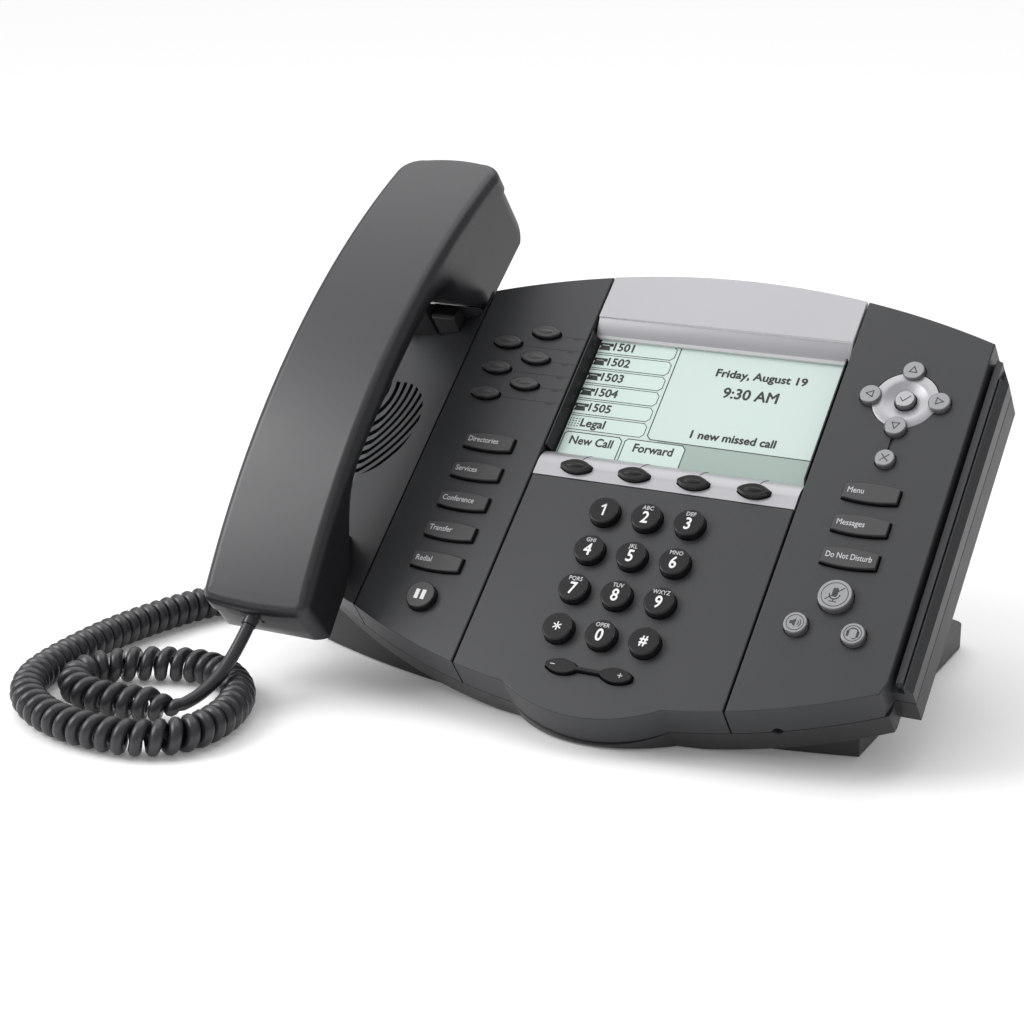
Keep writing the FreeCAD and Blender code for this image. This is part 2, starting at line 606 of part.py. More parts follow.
chin_inside = prism(chin_band(SEAM_X, SHELL_N + FLOOR_T, FLARE - SKIN_T, CHIN_FLARE - SKIN_T), depth)
edge_inside = box(FACE_RIGHT - 12, EDGE_START_U + SKIN_T, SHELL_N + FLOOR_T, BODY_RIGHT - SKIN_T,
                  EDGE_END_U - SKIN_T, RIM_N + 1)
corner_wall = box(FACE_RIGHT - 8, -80, SHELL_N, FACE_RIGHT + 8, EDGE_START_U + SKIN_T, RIM_N)
housing = housing.cut(inside.cut(corner_wall)).cut(chin_inside).cut(edge_inside)
lower_housing = housing
for x, u in SCREW_PLACES:
    pad = cylinder(x, u, SHELL_N, BOSS_N - 0.3, BOSS_R + 1.2)
    lower_housing = fuse([lower_housing, pad])
    lower_housing = lower_housing.cut(cylinder(x, u, SHELL_N - 1, BOSS_N + 1, SCREW_R + 0.3))
    lower_housing = lower_housing.cut(cylinder(x, u, SHELL_N - 1, SHELL_N + 2.6, 3.3))
lower_housing = lower_housing.cut(microphone_hole)

screws = []
for x, u in SCREW_PLACES:
    head = cylinder(x, u, SHELL_N + 0.5, SHELL_N + 2.5, 2.9)
    shank = cylinder(x, u, SHELL_N + 2.5, BOSS_N + SCREW_BITE, SCREW_R)
    recess = box(x - 0.4, u - 1.8, SHELL_N, x + 0.4, u + 1.8, SHELL_N + 1.4)
    cross = box(x - 1.8, u - 0.4, SHELL_N, x + 1.8, u + 0.4, SHELL_N + 1.4)
    screws.append(fuse([head, shank]).cut(recess).cut(cross))

# ---- circuit board, jacks and loudspeaker ---------------------------------------------------------------
board_n0 = BOARD_N - BOARD_T
board = box(-100, -40, board_n0, 100, 104, BOARD_N)
for x, u in SCREW_PLACES:
    board = board.cut(cylinder(x, u, -40, 0, BOSS_R + 1.5))
mat = box(-27, -39, BOARD_N, 27, 27, MAT_TOP_N)
jacks = []
jack_holes = []
for x, width, length, mouth_w, mouth_h in JACKS:
    shell = box(x - width / 2, JACK_U - length / 2, JACK_N0, x + width / 2, JACK_U + length / 2, board_n0)
    mouth = box(x - mouth_w / 2, JACK_U - mouth_h / 2, JACK_N0 - 1, x + mouth_w / 2, JACK_U + mouth_h / 2, -16.5)
    jacks.append(shell.cut(mouth))
    jack_holes.append(box(x - width / 2 - 0.3, JACK_U - length / 2 - 0.3, SHELL_N - 1,
                          x + width / 2 + 0.3, JACK_U + length / 2 + 0.3, SHELL_N + FLOOR_T + 1))
for hole in jack_holes:
    lower_housing = lower_housing.cut(hole)
speaker = cylinder(SPEAKER_X, GRILLE_U, SHELL_N + FLOOR_T + 0.3, PARTING_N - 0.8, SPEAKER_R)
electronics = Part.makeCompound([board, mat] + jacks + [speaker])

# ---- handset --------------------------------------------------------------------------------------------
def offset_arc(points, drop):
    """Arc points moved down by drop."""
    return [(u, n - drop) for u, n in points]


outer0, outer1, outer2 = OUTER_ARC
part0, part1, part2 = PARTING_ARC
hand_x0 = HANDSET_X - HANDSET_W / 2
hand_x1 = HANDSET_X + HANDSET_W / 2


def handset_plan(inset):
    """Prism of the handset's outline seen from its outer side: rounded corners and crowned ends."""
    x0 = hand_x0 + inset
    x1 = hand_x1 - inset
    top = TOP_R * (1 - sqrt(0.5))
    low = LOW_R * (1 - sqrt(0.5))
    top_u = 166.8 - inset
    low_u = -61.6 + inset
    places = [(x1, low_u + LOW_R), (x1, top_u - TOP_R), (x1 - top, top_u - top), (x1 - TOP_R, top_u),
              (HANDSET_X, top_u + 1.6), (x0 + TOP_R, top_u), (x0 + top, top_u - top), (x0, top_u - TOP_R),
              (x0, low_u + LOW_R), (x0 + low, low_u + low), (x0 + LOW_R, low_u), (HANDSET_X, low_u - 0.9),
              (x1 - LOW_R, low_u), (x1 - low, low_u + low)]
    at = [Vector(x, u, -60) for x, u in places]
    edges = [line(at[0], at[1]), arc(at[1], at[2], at[3]), arc(at[3], at[4], at[5]), arc(at[5], at[6], at[7]),
             line(at[7], at[8]), arc(at[8], at[9], at[10]), arc(at[10], at[11], at[12]), arc(at[12], at[13], at[0])]
    return Part.Face(Part.Wire(edges)).extrude(Vector(0, 0, 160))


outer_solid = side_prism([part2, outer2, (outer1, outer0), part0, (part1, part2)], hand_x0, hand_x1)
outer_solid = outer_solid.common(handset_plan(0))


outer_circle = arc(*[Vector(0, u, n) for u, n in OUTER_ARC]).Curve


def along_outer(edge, middle):
    """Edges that lie wholly on the outer face."""
    places = [vertex.Point for vertex in edge.Vertexes] + [middle]
    reaches = [Vector(0, place.y, place.z).distanceToPoint(outer_circle.Center) for place in places]
    return all(abs(reach - outer_circle.Radius) < 0.02 for reach in reaches)


outer_solid = round_edges(outer_solid, HANDSET_EDGE_R, along_outer)
outer_hollow = side_prism([(part2[0] + 3, part2[1] - 6), (outer2[0] + 3, outer2[1] - HANDSET_WALL),
                           ((outer1[0], outer1[1] - HANDSET_WALL), (outer0[0] - 4, outer0[1] - HANDSET_WALL)),
                           (part0[0] - 4, part0[1] - 6)],
                          hand_x0 + HANDSET_WALL + 2, hand_x1 - HANDSET_WALL - 2)
handset_outer = outer_solid.cut(outer_hollow.common(handset_plan(HANDSET_WALL + 1.5)))

lower_arc = offset_arc(PARTING_ARC, SHELL_GAP)
low0, low1, low2 = lower_arc
inner_side = [low2, (low1, low0), ((164.2, 1.5), (154.6, EAR_N - 1.4)), (EAR_U1 + 11, EAR_N), (EAR_U1, EAR_N),
              (EAR_U0, 22.4), ((93.4, 26.2), (86.0, HANDLE_N - 1.6)), ((46.0, HANDLE_N), (8.0, HANDLE_N - 2.0)),
              ((-14.0, 20.2), (-28.0, 8.0)), ((-35.0, 4.4), (-44.0, MOUTH_N)), (-57.0, -0.2), (-60.6, 3.2)]
inner_x0 = hand_x0 + INNER_INSET
inner_x1 = hand_x1 - INNER_INSET
inner_solid = side_prism(inner_side, inner_x0, inner_x1).common(handset_plan(INNER_INSET))
ear_hollow = side_prism([(EAR_U0 + 14, 14), (EAR_U1 + 4, EAR_N + 3), (150.0, EAR_N + 2.6), (158.0, 3.0), (159.5, 13)],
                        inner_x0 + HANDSET_WALL, inner_x1 - HANDSET_WALL)
mouth_hollow = side_prism([(-56.5, 13.0), (-56.5, 4.6), (-55.0, 2.4), (-44.0, MOUTH_N + 2.4), (-35.0, 7.4),
                           (-28.0, 13.0)],
                          inner_x0 + HANDSET_WALL, inner_x1 - HANDSET_WALL)
handset_inner = inner_solid.cut(ear_hollow).cut(mouth_hollow)

# ---- cord plugs -----------------------------------------------------------------------------------------
plug_body = box(PLUG_X - PLUG_W / 2, HAND_END_U, PLUG_N - PLUG_H / 2, PLUG_X + PLUG_W / 2, HAND_END_U + PLUG_L,
                PLUG_N + PLUG_H / 2)
boot = Part.makeCylinder(3.0, BOOT_L + 1, Vector(PLUG_X, HAND_END_U - BOOT_L, PLUG_N), Vector(0, 1, 0))
handset_plug = fuse([plug_body, boot])
pocket = box(PLUG_X - PLUG_W / 2 - 0.4, HAND_END_U - 5, PLUG_N - PLUG_H / 2 - 0.4, PLUG_X + PLUG_W / 2 + 0.4,
             HAND_END_U + PLUG_L + 0.6, PLUG_N + PLUG_H / 2 + 0.4)
handset_outer = handset_outer.cut(pocket)
handset_inner = handset_inner.cut(pocket)

# ---- stand ----------------------------------------------------------------------------------------------
def stand_outline(z, inset=0.0):
    """The stand's outline on the desk: an arc in front, rounded rear corners."""
    x0 = STAND_LEFT + inset
    x1 = STAND_RIGHT - inset
    y1 = STAND_REAR - inset
    corner = STAND_CORNER_R - inset
    cut = corner * (1 - sqrt(0.5))

    def front_y(x):
        return STAND_FRONT + inset + STAND_FRONT_R - sqrt(STAND_FRONT_R ** 2 - (x - FACE_X) ** 2)

    middle_x = (x0 + x1) / 2
    edges = [
        arc(Vector(x0, front_y(x0), z), Vector(middle_x, front_y(middle_x), z), Vector(x1, front_y(x1), z)),
        line(Vector(x1, front_y(x1), z), Vector(x1, y1 - corner, z)),
        arc(Vector(x1, y1 - corner, z), Vector(x1 - cut, y1 - cut, z), Vector(x1 - corner, y1, z)),
        line(Vector(x1 - corner, y1, z), Vector(x0 + corner, y1, z)),
        arc(Vector(x0 + corner, y1, z), Vector(x0 + cut, y1 - cut, z), Vector(x0, y1 - corner, z)),
        line(Vector(x0, y1 - corner, z), Vector(x0, front_y(x0), z)),
    ]
    return Part.Wire(edges)


def under_body(drop):
    """All the room under the lower housing, drop below it."""
    room = Part.makeBox(600, 600, 300, Vector(-300, -300, SHELL_N - drop - 300))
    return on_face(room)


def stand_block(inset, x_spans):
    """The foot and the legs on it, without their hollow."""
    slab = [(-90, DESK_GAP), (STAND_REAR + 1, DESK_GAP), (STAND_REAR + 1, FOOT_H - inset),
            (SLAB_Y, SLAB_H - inset), (-90, SLAB_H - inset)]
    leg = [(-60, DESK_GAP), (SLAB_Y - inset, DESK_GAP), (SLAB_Y - inset, SLAB_H - inset),
           (LEG_TOP_Y - inset, 90), (-60, 90)]
    blocks = [side_prism(slab, STAND_LEFT - 1, STAND_RIGHT + 1)]
    for x0, x1 in x_spans:
        blocks.append(side_prism(leg, x0 + inset, x1 - inset))
    whole = fuse(blocks)
    return whole.common(under_body(0.3 + inset)).common(prism(stand_outline(0, inset), 100))


leg_spans = [(STAND_LEFT, STAND_LEFT + LEG_LEFT_W), (STAND_RIGHT - LEG_RIGHT_W, STAND_RIGHT)]
stand_outer = stand_block(0, leg_spans)
stand_hollow = stand_block(STAND_WALL, leg_spans)
base_stand = stand_outer.cut(stand_hollow)
posts = []
feet = []
for x, y in PAD_PLACES:
    posts.append(Part.makeCylinder(PAD_R + 1.5, 90, Vector(x, y, DESK_GAP)).common(stand_outer))
    feet.append(Part.makeCylinder(PAD_R, DESK_GAP, Vector(x, y, 0)))
base_stand = fuse([base_stand] + posts)
plug_hole = Part.makeBox(STAND_WALL + 2, PLUG_W + 0.8, PLUG_H + 0.8,
                         Vector(STAND_LEFT - 1, SOCKET_Y - PLUG_W / 2 - 0.4, SOCKET_Z - PLUG_H / 2 - 0.4))
base_stand = base_stand.cut(plug_hole)
base_plug_body = Part.makeBox(PLUG_L, PLUG_W, PLUG_H, Vector(STAND_LEFT - 1, SOCKET_Y - PLUG_W / 2, SOCKET_Z - PLUG_H / 2))
base_boot = Part.makeCylinder(3.2, 10, Vector(STAND_LEFT - 11, SOCKET_Y, SOCKET_Z), Vector(1, 0, 0))
base_plug = fuse([base_plug_body, base_boot])

# ---- cord -----------------------------------------------------------------------------------------------
def cord_tube(name, route, diameter):
    """Tube along straight runs joined by tangent arcs as large as the runs allow."""
    points = [Vector(*point) for point in route]
    edges = []
    here = points[0]
    radii = []
    for before, corner, after in zip(points, points[1:], points[2:]):
        into = (corner - before).normalize()
        out = (after - corner).normalize()
        turn = into.getAngle(out)
        shorter = min((corner - before).Length, (after - corner).Length)
        back = 0.45 * shorter
        radius = back / tan(turn / 2)
        start = corner - into * back
        end = corner + out * back
        inward = (out - into).normalize()
        middle = corner + inward * (radius / cos(turn / 2) - radius)
        edges.append(line(here, start))
        edges.append(arc(start, middle, end))
        here = end
        radii.append(radius)
    edges.append(line(here, points[-1]))
    path = Part.Wire(edges)
    circle = Part.makeCircle(diameter / 2, points[0], points[1] - points[0])
    tube = path.makePipeShell([Part.Wire([circle])], True, False)
    expected = pi * diameter ** 2 / 4 * path.Length
    print("%s: length %.0f mm, volume %.3f of section times length, radii %s"
          % (name, path.Length, tube.Volume / expected, " ".join("%.0f" % radius for radius in radii)))
    return tube


lead = cord_tube("lead", LEAD_ROUTE, LEAD_D)
coil = cord_tube("coil", [(x, y, COIL_Z) for x, y in COIL_ROUTE], COIL_D)

# ---- write the nodes ------------------------------------------------------------------------------------
on_slope = {
    "left_panel": left_panel, "center_panel": centre_panel, "right_panel": right_panel,
    "cradle_panel": cradle_panel, "display_hood": display_hood, "softkey_bar": softkey_bar,
    "display_module": display_module, "electronics": electronics, "hook_plunger": hook_plunger,
    "housing_screws": Part.makeCompound(screws), "handset_outer_shell": handset_outer,
    "handset_inner_shell": handset_inner, "handset_plug": handset_plug,
}
for key in dial_keys + line_keys + left_feature_keys + [hold_key] + soft_keys + nav_keys \
        + right_feature_keys + audio_keys:
    on_slope[key.name] = key.solid()
volume_low = -PANEL_T - VOLUME_PLAY
volume_cap = volume_outline(0, volume_low).extrude(Vector(0, 0, VOLUME_TOP - volume_low))
volume_flange = volume_outline(KEY_FLANGE, volume_low - FLANGE_T).extrude(Vector(0, 0, FLANGE_T))
on_slope["key_volume"] = fuse([volume_cap, volume_flange])
for name, shape in on_slope.items():
    nodes[name] = on_face(shape)
above_desk = Part.makeBox(600, 600, 300, Vector(-300, -300, DESK_GAP))
nodes["lower_housing"] = on_face(lower_housing).common(above_desk)
nodes["base_stand"] = base_stand
nodes["rubber_feet"] = Part.makeCompound(feet)
nodes["handset_cord_lead"] = lead
nodes["handset_cord_coil"] = coil
nodes["base_plug"] = base_plug

for name, shape in nodes.items():
    shape.exportStep("parts/%s.step" % name)
    if not shape.isValid():
        print("not valid:", name)
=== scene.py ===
"""Looks of the desk IP phone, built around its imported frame.

Everything is in metres in the row frame. The phone's face is a slope: `set_on` sets flat work that was made
lying down, with x along the key rows and y up the slope, on that face.
"""
from __future__ import annotations

import logging
import math
from dataclasses import dataclass
from enum import Enum
from typing import Callable, Iterable, Sequence

import bmesh
import bpy
from mathutils import Matrix, Vector


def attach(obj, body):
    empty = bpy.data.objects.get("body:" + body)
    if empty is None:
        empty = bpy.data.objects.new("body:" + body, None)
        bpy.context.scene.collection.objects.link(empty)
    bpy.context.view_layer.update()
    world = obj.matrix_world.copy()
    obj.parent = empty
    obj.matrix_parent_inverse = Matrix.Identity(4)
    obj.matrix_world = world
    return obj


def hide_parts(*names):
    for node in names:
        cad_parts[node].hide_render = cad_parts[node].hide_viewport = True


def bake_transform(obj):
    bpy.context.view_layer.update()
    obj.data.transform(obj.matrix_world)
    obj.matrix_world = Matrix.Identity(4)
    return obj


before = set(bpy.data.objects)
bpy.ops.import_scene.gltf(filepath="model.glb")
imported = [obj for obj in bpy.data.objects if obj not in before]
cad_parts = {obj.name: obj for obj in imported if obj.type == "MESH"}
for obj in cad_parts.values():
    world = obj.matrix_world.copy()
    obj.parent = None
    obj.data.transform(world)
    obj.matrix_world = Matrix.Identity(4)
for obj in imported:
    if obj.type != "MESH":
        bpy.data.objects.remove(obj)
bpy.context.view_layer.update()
LOG = logging.getLogger("phone")

MM = 0.001
BODY = "phone"
HANDSET = "handset"
FACE_TILT = math.radians(40.7)
FACE_PLACE = Vector((0.0207, -0.0351, 0.0609))
FACE = Matrix.Translation(FACE_PLACE) @ Matrix.Rotation(FACE_TILT, 4, "X")
FACE_NORMAL = Vector((0.0, -math.sin(FACE_TILT), math.cos(FACE_TILT)))
FONT_CAP = 0.7            # height of a capital in the font, as a share of its size


# ---- shader groups --------------------------------------------------------------------------------------
class ShaderGroups:
    """Node groups that several finishes use, each built once."""

    def __init__(self) -> None:
        """Start with no groups built."""
        self._made: dict[str, bpy.types.NodeTree] = {}

    def _tree(self, name: str, inputs: Sequence[tuple[str, str, object]],
              outputs: Sequence[tuple[str, str]]) -> tuple[bpy.types.NodeTree, bpy.types.Node, bpy.types.Node]:
        """Make an empty group with its sockets.

        Args:
            name: The group's name.
            inputs: Socket name, socket type and default of each input.
            outputs: Socket name and socket type of each output.

        Returns:
            The tree, its input node and its output node.
        """
        tree = bpy.data.node_groups.new(name, "ShaderNodeTree")
        for label, kind, default in inputs:
            socket = tree.interface.new_socket(label, in_out="INPUT", socket_type=kind)
            if default is not None:
                socket.default_value = default
        for label, kind in outputs:
            tree.interface.new_socket(label, in_out="OUTPUT", socket_type=kind)
        return tree, tree.nodes.new("NodeGroupInput"), tree.nodes.new("NodeGroupOutput")

    def moulded_grain(self) -> bpy.types.NodeTree:
        """Fine spark-eroded grain: a height for a bump and a slow tint mask.

        Returns:
            The group, with inputs Scale and Drift and outputs Height, Tint and Rough.
        """
        if "grain" in self._made:
            return self._made["grain"]
        tree, source, sink = self._tree(
            "Moulded grain",
            [("Scale", "NodeSocketFloat", 2600.0), ("Drift", "NodeSocketFloat", 18.0)],
            [("Height", "NodeSocketFloat"), ("Tint", "NodeSocketFloat"), ("Rough", "NodeSocketFloat")])
        nodes, links = tree.nodes, tree.links
        place = nodes.new("ShaderNodeTexCoord")
        grain = nodes.new("ShaderNodeTexNoise")
        grain.inputs["Detail"].default_value = 2.0
        links.new(place.outputs["Object"], grain.inputs["Vector"])
        links.new(source.outputs["Scale"], grain.inputs["Scale"])
        cells = nodes.new("ShaderNodeTexVoronoi")
        links.new(place.outputs["Object"], cells.inputs["Vector"])
        links.new(source.outputs["Scale"], cells.inputs["Scale"])
        mixed = nodes.new("ShaderNodeMath")
        mixed.operation = "ADD"
        links.new(grain.outputs["Fac"], mixed.inputs[0])
        links.new(cells.outputs["Distance"], mixed.inputs[1])
        drift = nodes.new("ShaderNodeTexNoise")
        drift.inputs["Detail"].default_value = 3.0
        links.new(place.outputs["Object"], drift.inputs["Vector"])
        links.new(source.outputs["Drift"], drift.inputs["Scale"])
        rough = nodes.new("ShaderNodeMapRange")
        rough.inputs["From Min"].default_value = 0.3
        rough.inputs["From Max"].default_value = 0.7
        rough.inputs["To Min"].default_value = -1.0
        rough.inputs["To Max"].default_value = 1.0
        links.new(drift.outputs["Fac"], rough.inputs["Value"])
        links.new(mixed.outputs[0], sink.inputs["Height"])
        links.new(drift.outputs["Fac"], sink.inputs["Tint"])
        links.new(rough.outputs["Result"], sink.inputs["Rough"])
        self._made["grain"] = tree
        return tree


GROUPS = ShaderGroups()


@dataclass(frozen=True)
class Finish:
    """One surface finish: its colour, sheen and grain, made into a material when first asked for."""

    name: str
    colour: tuple[float, float, float]
    roughness: float
    metallic: float = 0.0
    grain_scale: float = 2600.0
    grain_depth: float = 0.00003
    tint: float = 0.12
    rough_play: float = 0.04
    coat: float = 0.0
    coat_roughness: float = 0.1
    specular: float = 0.5
    glow: float = 0.0
    subsurface: float = 0.0

    def material(self) -> bpy.types.Material:
        """Give the finish's material, building it the first time.

        Returns:
            The material.
        """
        found = bpy.data.materials.get(self.name)
        if found:
            return found
        made = bpy.data.materials.new(self.name)
        made.use_nodes = True
        nodes, links = made.node_tree.nodes, made.node_tree.links
        shader = nodes["Principled BSDF"]
        shader.inputs["Metallic"].default_value = self.metallic
        shader.inputs["Specular IOR Level"].default_value = self.specular
        shader.inputs["Coat Weight"].default_value = self.coat
        shader.inputs["Coat Roughness"].default_value = self.coat_roughness
        shader.inputs["Subsurface Weight"].default_value = self.subsurface
        shader.inputs["Subsurface Radius"].default_value = (0.004, 0.004, 0.004)
        grain = nodes.new("ShaderNodeGroup")
        grain.node_tree = GROUPS.moulded_grain()
        grain.inputs["Scale"].default_value = self.grain_scale
        bump = nodes.new("ShaderNodeBump")
        bump.inputs["Distance"].default_value = self.grain_depth
        bump.inputs["Strength"].default_value = 0.6
        links.new(grain.outputs["Height"], bump.inputs["Height"])
        links.new(bump.outputs["Normal"], shader.inputs["Normal"])
        colour = nodes.new("ShaderNodeMix")
        colour.data_type = "RGBA"
        low, high = 1.0 - self.tint, 1.0 + self.tint
        colour.inputs[6].default_value = (*(min(1.0, part * low) for part in self.colour), 1.0)
        colour.inputs[7].default_value = (*(min(1.0, part * high) for part in self.colour), 1.0)
        links.new(grain.outputs["Tint"], colour.inputs[0])
        links.new(colour.outputs[2], shader.inputs["Base Color"])
        rough = nodes.new("ShaderNodeMath")
        rough.operation = "MULTIPLY_ADD"
        rough.inputs[1].default_value = self.rough_play
        rough.inputs[2].default_value = self.roughness
        links.new(grain.outputs["Rough"], rough.inputs[0])
        links.new(rough.outputs[0], shader.inputs["Roughness"])
        if self.glow:
            links.new(colour.outputs[2], shader.inputs["Emission Color"])
            shader.inputs["Emission Strength"].default_value = self.glow
        return made


GRAPHITE = Finish("graphite shell", (0.0245, 0.0262, 0.0288), 0.42)
GRAPHITE_DARK = Finish("graphite housing", (0.018, 0.0185, 0.020), 0.46)
HANDSET_SHELL = Finish("handset shell", (0.022, 0.0225, 0.0255), 0.36, grain_scale=3200.0, grain_depth=0.00002)
# Painted shade: a darker copy of the handset's plastic for its shaded sides and the inner shell.
HANDSET_PAINTED_SHADE = Finish("handset painted shade", (0.010, 0.0105, 0.0130), 0.34, grain_scale=3200.0)
# Near black: the display module's own black frame, and painted shade on the recess walls round the display and
# in the line-key grooves.
DARK_FRAME_AND_SHADE = Finish("black frame and painted shade", (0.008, 0.008, 0.009), 0.5)
KEY_BLACK = Finish("key top", (0.0085, 0.0085, 0.0095), 0.40, grain_depth=0.00001, specular=0.25)
# Painted shade: a near-black copy of the key plastic for the keys' sides.
KEY_SIDE_SHADE = Finish("key side shade", (0.006, 0.006, 0.007), 0.34, grain_depth=0.00001)
KEY_GREY = Finish("key grey", (0.040, 0.0405, 0.042), 0.42, grain_depth=0.00002)
KEY_CLEAR = Finish("key frosted", (0.27, 0.275, 0.285), 0.20, grain_depth=0.000005, tint=0.05, coat=0.5,
                   subsurface=0.1)
# Painted shade: a darker copy of the frosted plastic for the sides of the clear keys and of the select key.
KEY_CLEAR_SHADE = Finish("key frosted shade", (0.10, 0.10, 0.105), 0.25, grain_depth=0.000005, coat=0.5)
SILVER = Finish("silver paint", (0.40, 0.40, 0.42), 0.34, metallic=0.5, grain_scale=5200.0,
                grain_depth=0.000008, tint=0.03)
# Painted highlight: a lighter copy of the silver paint for the hood's lip and its other faces turned away from
# the face.
SILVER_HIGHLIGHT = Finish("silver painted highlight", (0.62, 0.62, 0.635), 0.34, metallic=0.3, grain_scale=5200.0,
                    grain_depth=0.000008, tint=0.03)
SCREEN = Finish("screen", (0.50, 0.60, 0.565), 0.18, grain_depth=0.0, tint=0.02, glow=0.10, coat=0.3)
SCREEN_FOOT = Finish("screen foot", (0.28, 0.36, 0.325), 0.2, grain_depth=0.0, tint=0.02, glow=0.10, coat=0.3)
TAB_PALE = Finish("screen tab", (0.52, 0.63, 0.59), 0.18, grain_depth=0.0, tint=0.01, glow=0.10, coat=0.3)
INK_DARK = Finish("screen ink", (0.010, 0.013, 0.012), 0.4, grain_depth=0.0, tint=0.02)
INK_GREEN = Finish("screen line", (0.03, 0.045, 0.03), 0.4, grain_depth=0.0, tint=0.02)
INK_WHITE = Finish("legend white", (0.80, 0.80, 0.80), 0.4, grain_depth=0.0, tint=0.02)
INK_PALE = Finish("legend pale", (0.52, 0.53, 0.54), 0.4, grain_depth=0.0, tint=0.02)
INK_GREY = Finish("legend grey", (0.035, 0.036, 0.038), 0.4, grain_depth=0.0, tint=0.02)
CORD_SKIN = Finish("cord skin", (0.026, 0.026, 0.029), 0.34, grain_scale=1400.0, grain_depth=0.00003)
PLUG = Finish("plug plastic", (0.03, 0.03, 0.033), 0.25, tint=0.05)
RUBBER = Finish("rubber", (0.02, 0.02, 0.02), 0.8)
BOARD = Finish("board", (0.04, 0.14, 0.08), 0.45)
STEEL = Finish("screw steel", (0.6, 0.6, 0.6), 0.3, metallic=1.0)
FLOOR = Finish("floor", (0.93, 0.93, 0.93), 0.6, grain_depth=0.0, tint=0.0, rough_play=0.0, specular=0.1,
               glow=0.12)


# ---- making pieces --------------------------------------------------------------------------------------
def piece_from(work: bmesh.types.BMesh, name: str, finish: Finish, body: str,
               sharp: float = 32.0) -> bpy.types.Object:
    """Turn a bmesh into a finished piece that rides on a body.

    Args:
        work: The shape, already in its place; it is freed.
        name: The piece's name.
        finish: What it is made of.
        body: The body it rides on.
        sharp: Edges turning more than this many degrees stay sharp.

    Returns:
        The new object.
    """
    mesh = bpy.data.meshes.new(name)
    work.to_mesh(mesh)
    work.free()
    return piece_of(mesh, name, finish, body, sharp)


def piece_of(mesh: bpy.types.Mesh, name: str, finish: Finish, body: str,
             sharp: float = 32.0) -> bpy.types.Object:
    """Make an object of a mesh that is in its place, dress it and let it ride.

    Args:
        mesh: The mesh.
        name: The piece's name.
        finish: What it is made of.
        body: The body it rides on.
        sharp: Edges turning more than this many degrees stay sharp.

    Returns:
        The new object.
    """
    mesh.materials.clear()
    mesh.materials.append(finish.material())
    mesh.polygons.foreach_set("use_smooth", [True] * len(mesh.polygons))
    mesh.set_sharp_from_angle(angle=math.radians(sharp))
    made = bpy.data.objects.new(name, mesh)
    bpy.context.scene.collection.objects.link(made)
    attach(made, body)
    return made


def merged_copy(node: str) -> bmesh.types.BMesh:
    """Copy a CAD node's mesh as one skin, with its flat faces whole.

    Args:
        node: The node's name.

    Returns:
        The copy.
    """
    work = bmesh.new()
    work.from_mesh(bpy.data.objects[node].data)
    bmesh.ops.remove_doubles(work, verts=work.verts, dist=0.00001)
    bmesh.ops.dissolve_limit(work, angle_limit=math.radians(0.6), use_dissolve_boundaries=False,
                             verts=work.verts, edges=work.edges)
    return work


def soften(node: str, finish: Finish, body: str, width: float, segments: int = 2,
           angle: float = 28.0, sides: Finish | None = None) -> bpy.types.Object:
    """Replace a CAD node by the same shape with its moulded edges rounded.

    Args:
        node: The node's name.
        finish: What it is made of.
        body: The body it rides on.
        width: Width of the rounding.
        segments: Faces across the rounding.
        angle: Edges that turn more than this many degrees are rounded.
        sides: Finish of the faces turned away from the face, if it differs: a darker copy for painted shade, a
            lighter copy for a painted highlight.

    Returns:
        The new piece.
    """
    made = piece_from(merged_copy(node), node + "_skin", finish, body, 50.0)
    if sides:
        made.data.materials.append(sides.material())
        # Faces turned away from the face take the second finish, which paints their shade or their highlight.
        for side in made.data.polygons:
            side.material_index = int(side.normal.dot(FACE_NORMAL) < 0.8)
    return round_edges(made, node, width, segments, angle)


def round_edges(made: bpy.types.Object, node: str, width: float, segments: int,
                angle: float) -> bpy.types.Object:
    """Round a piece's edges and let it stand for its CAD node.

    Args:
        made: The piece.
        node: The node's name.
        width: Width of the rounding.
        segments: Faces across the rounding.
        angle: Edges that turn more than this many degrees are rounded.

    Returns:
        The same piece.
    """
    bevel = made.modifiers.new("moulded edge", "BEVEL")
    bevel.width = width
    bevel.segments = segments
    bevel.limit_method = "ANGLE"
    bevel.angle_limit = math.radians(angle)
    bevel.use_clamp_overlap = True
    bevel.harden_normals = False
    normals = made.modifiers.new("even shading", "WEIGHTED_NORMAL")
    normals.keep_sharp = True
    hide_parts(node)
    return made


def curve_work(curve: bpy.types.Curve) -> bmesh.types.BMesh:
    """Make a curve a bmesh.

    Args:
        curve: The curve or lettering; it is removed.

    Returns:
        Its shape.
    """
    holder = bpy.data.objects.new("curve", curve)
    mesh = bpy.data.meshes.new_from_object(holder)
    work = bmesh.new()
    work.from_mesh(mesh)
    bpy.data.objects.remove(holder)
    bpy.data.curves.remove(curve)
    bpy.data.meshes.remove(mesh)
    return work


def flat_text(words: str, size: float, thickness: float = 0.00006, spacing: float = 1.0,
              bold: float = 0.0) -> bmesh.types.BMesh:
    """Lettering as a thin solid, lying on the ground plane and centred on its middle.

    Args:
        words: What it says.
        size: Height of a capital.
        thickness: How far it stands up.
        spacing: Room between the characters.
        bold: How far the strokes spread to each side.

    Returns:
        The lettering.
    """
    curve = bpy.data.curves.new("lettering", "FONT")
    curve.body = words
    curve.size = size / FONT_CAP
    curve.space_character = spacing
    curve.extrude = thickness / 2
    curve.resolution_u = 3
    curve.align_x = "CENTER"
    curve.align_y = "CENTER"
    work = curve_work(curve)
    bmesh.ops.remove_doubles(work, verts=work.verts, dist=0.000002)
    if not bold:
        return work
    copies = []
    for index, (across, along) in enumerate(((1, 0), (-1, 0), (0, 1), (0, -1))):
        copy = work.copy()
        bmesh.ops.translate(copy, vec=(across * bold, along * bold, index * 0.000002), verts=copy.verts)
        copies.append(copy)
    work.free()
    return join(copies)


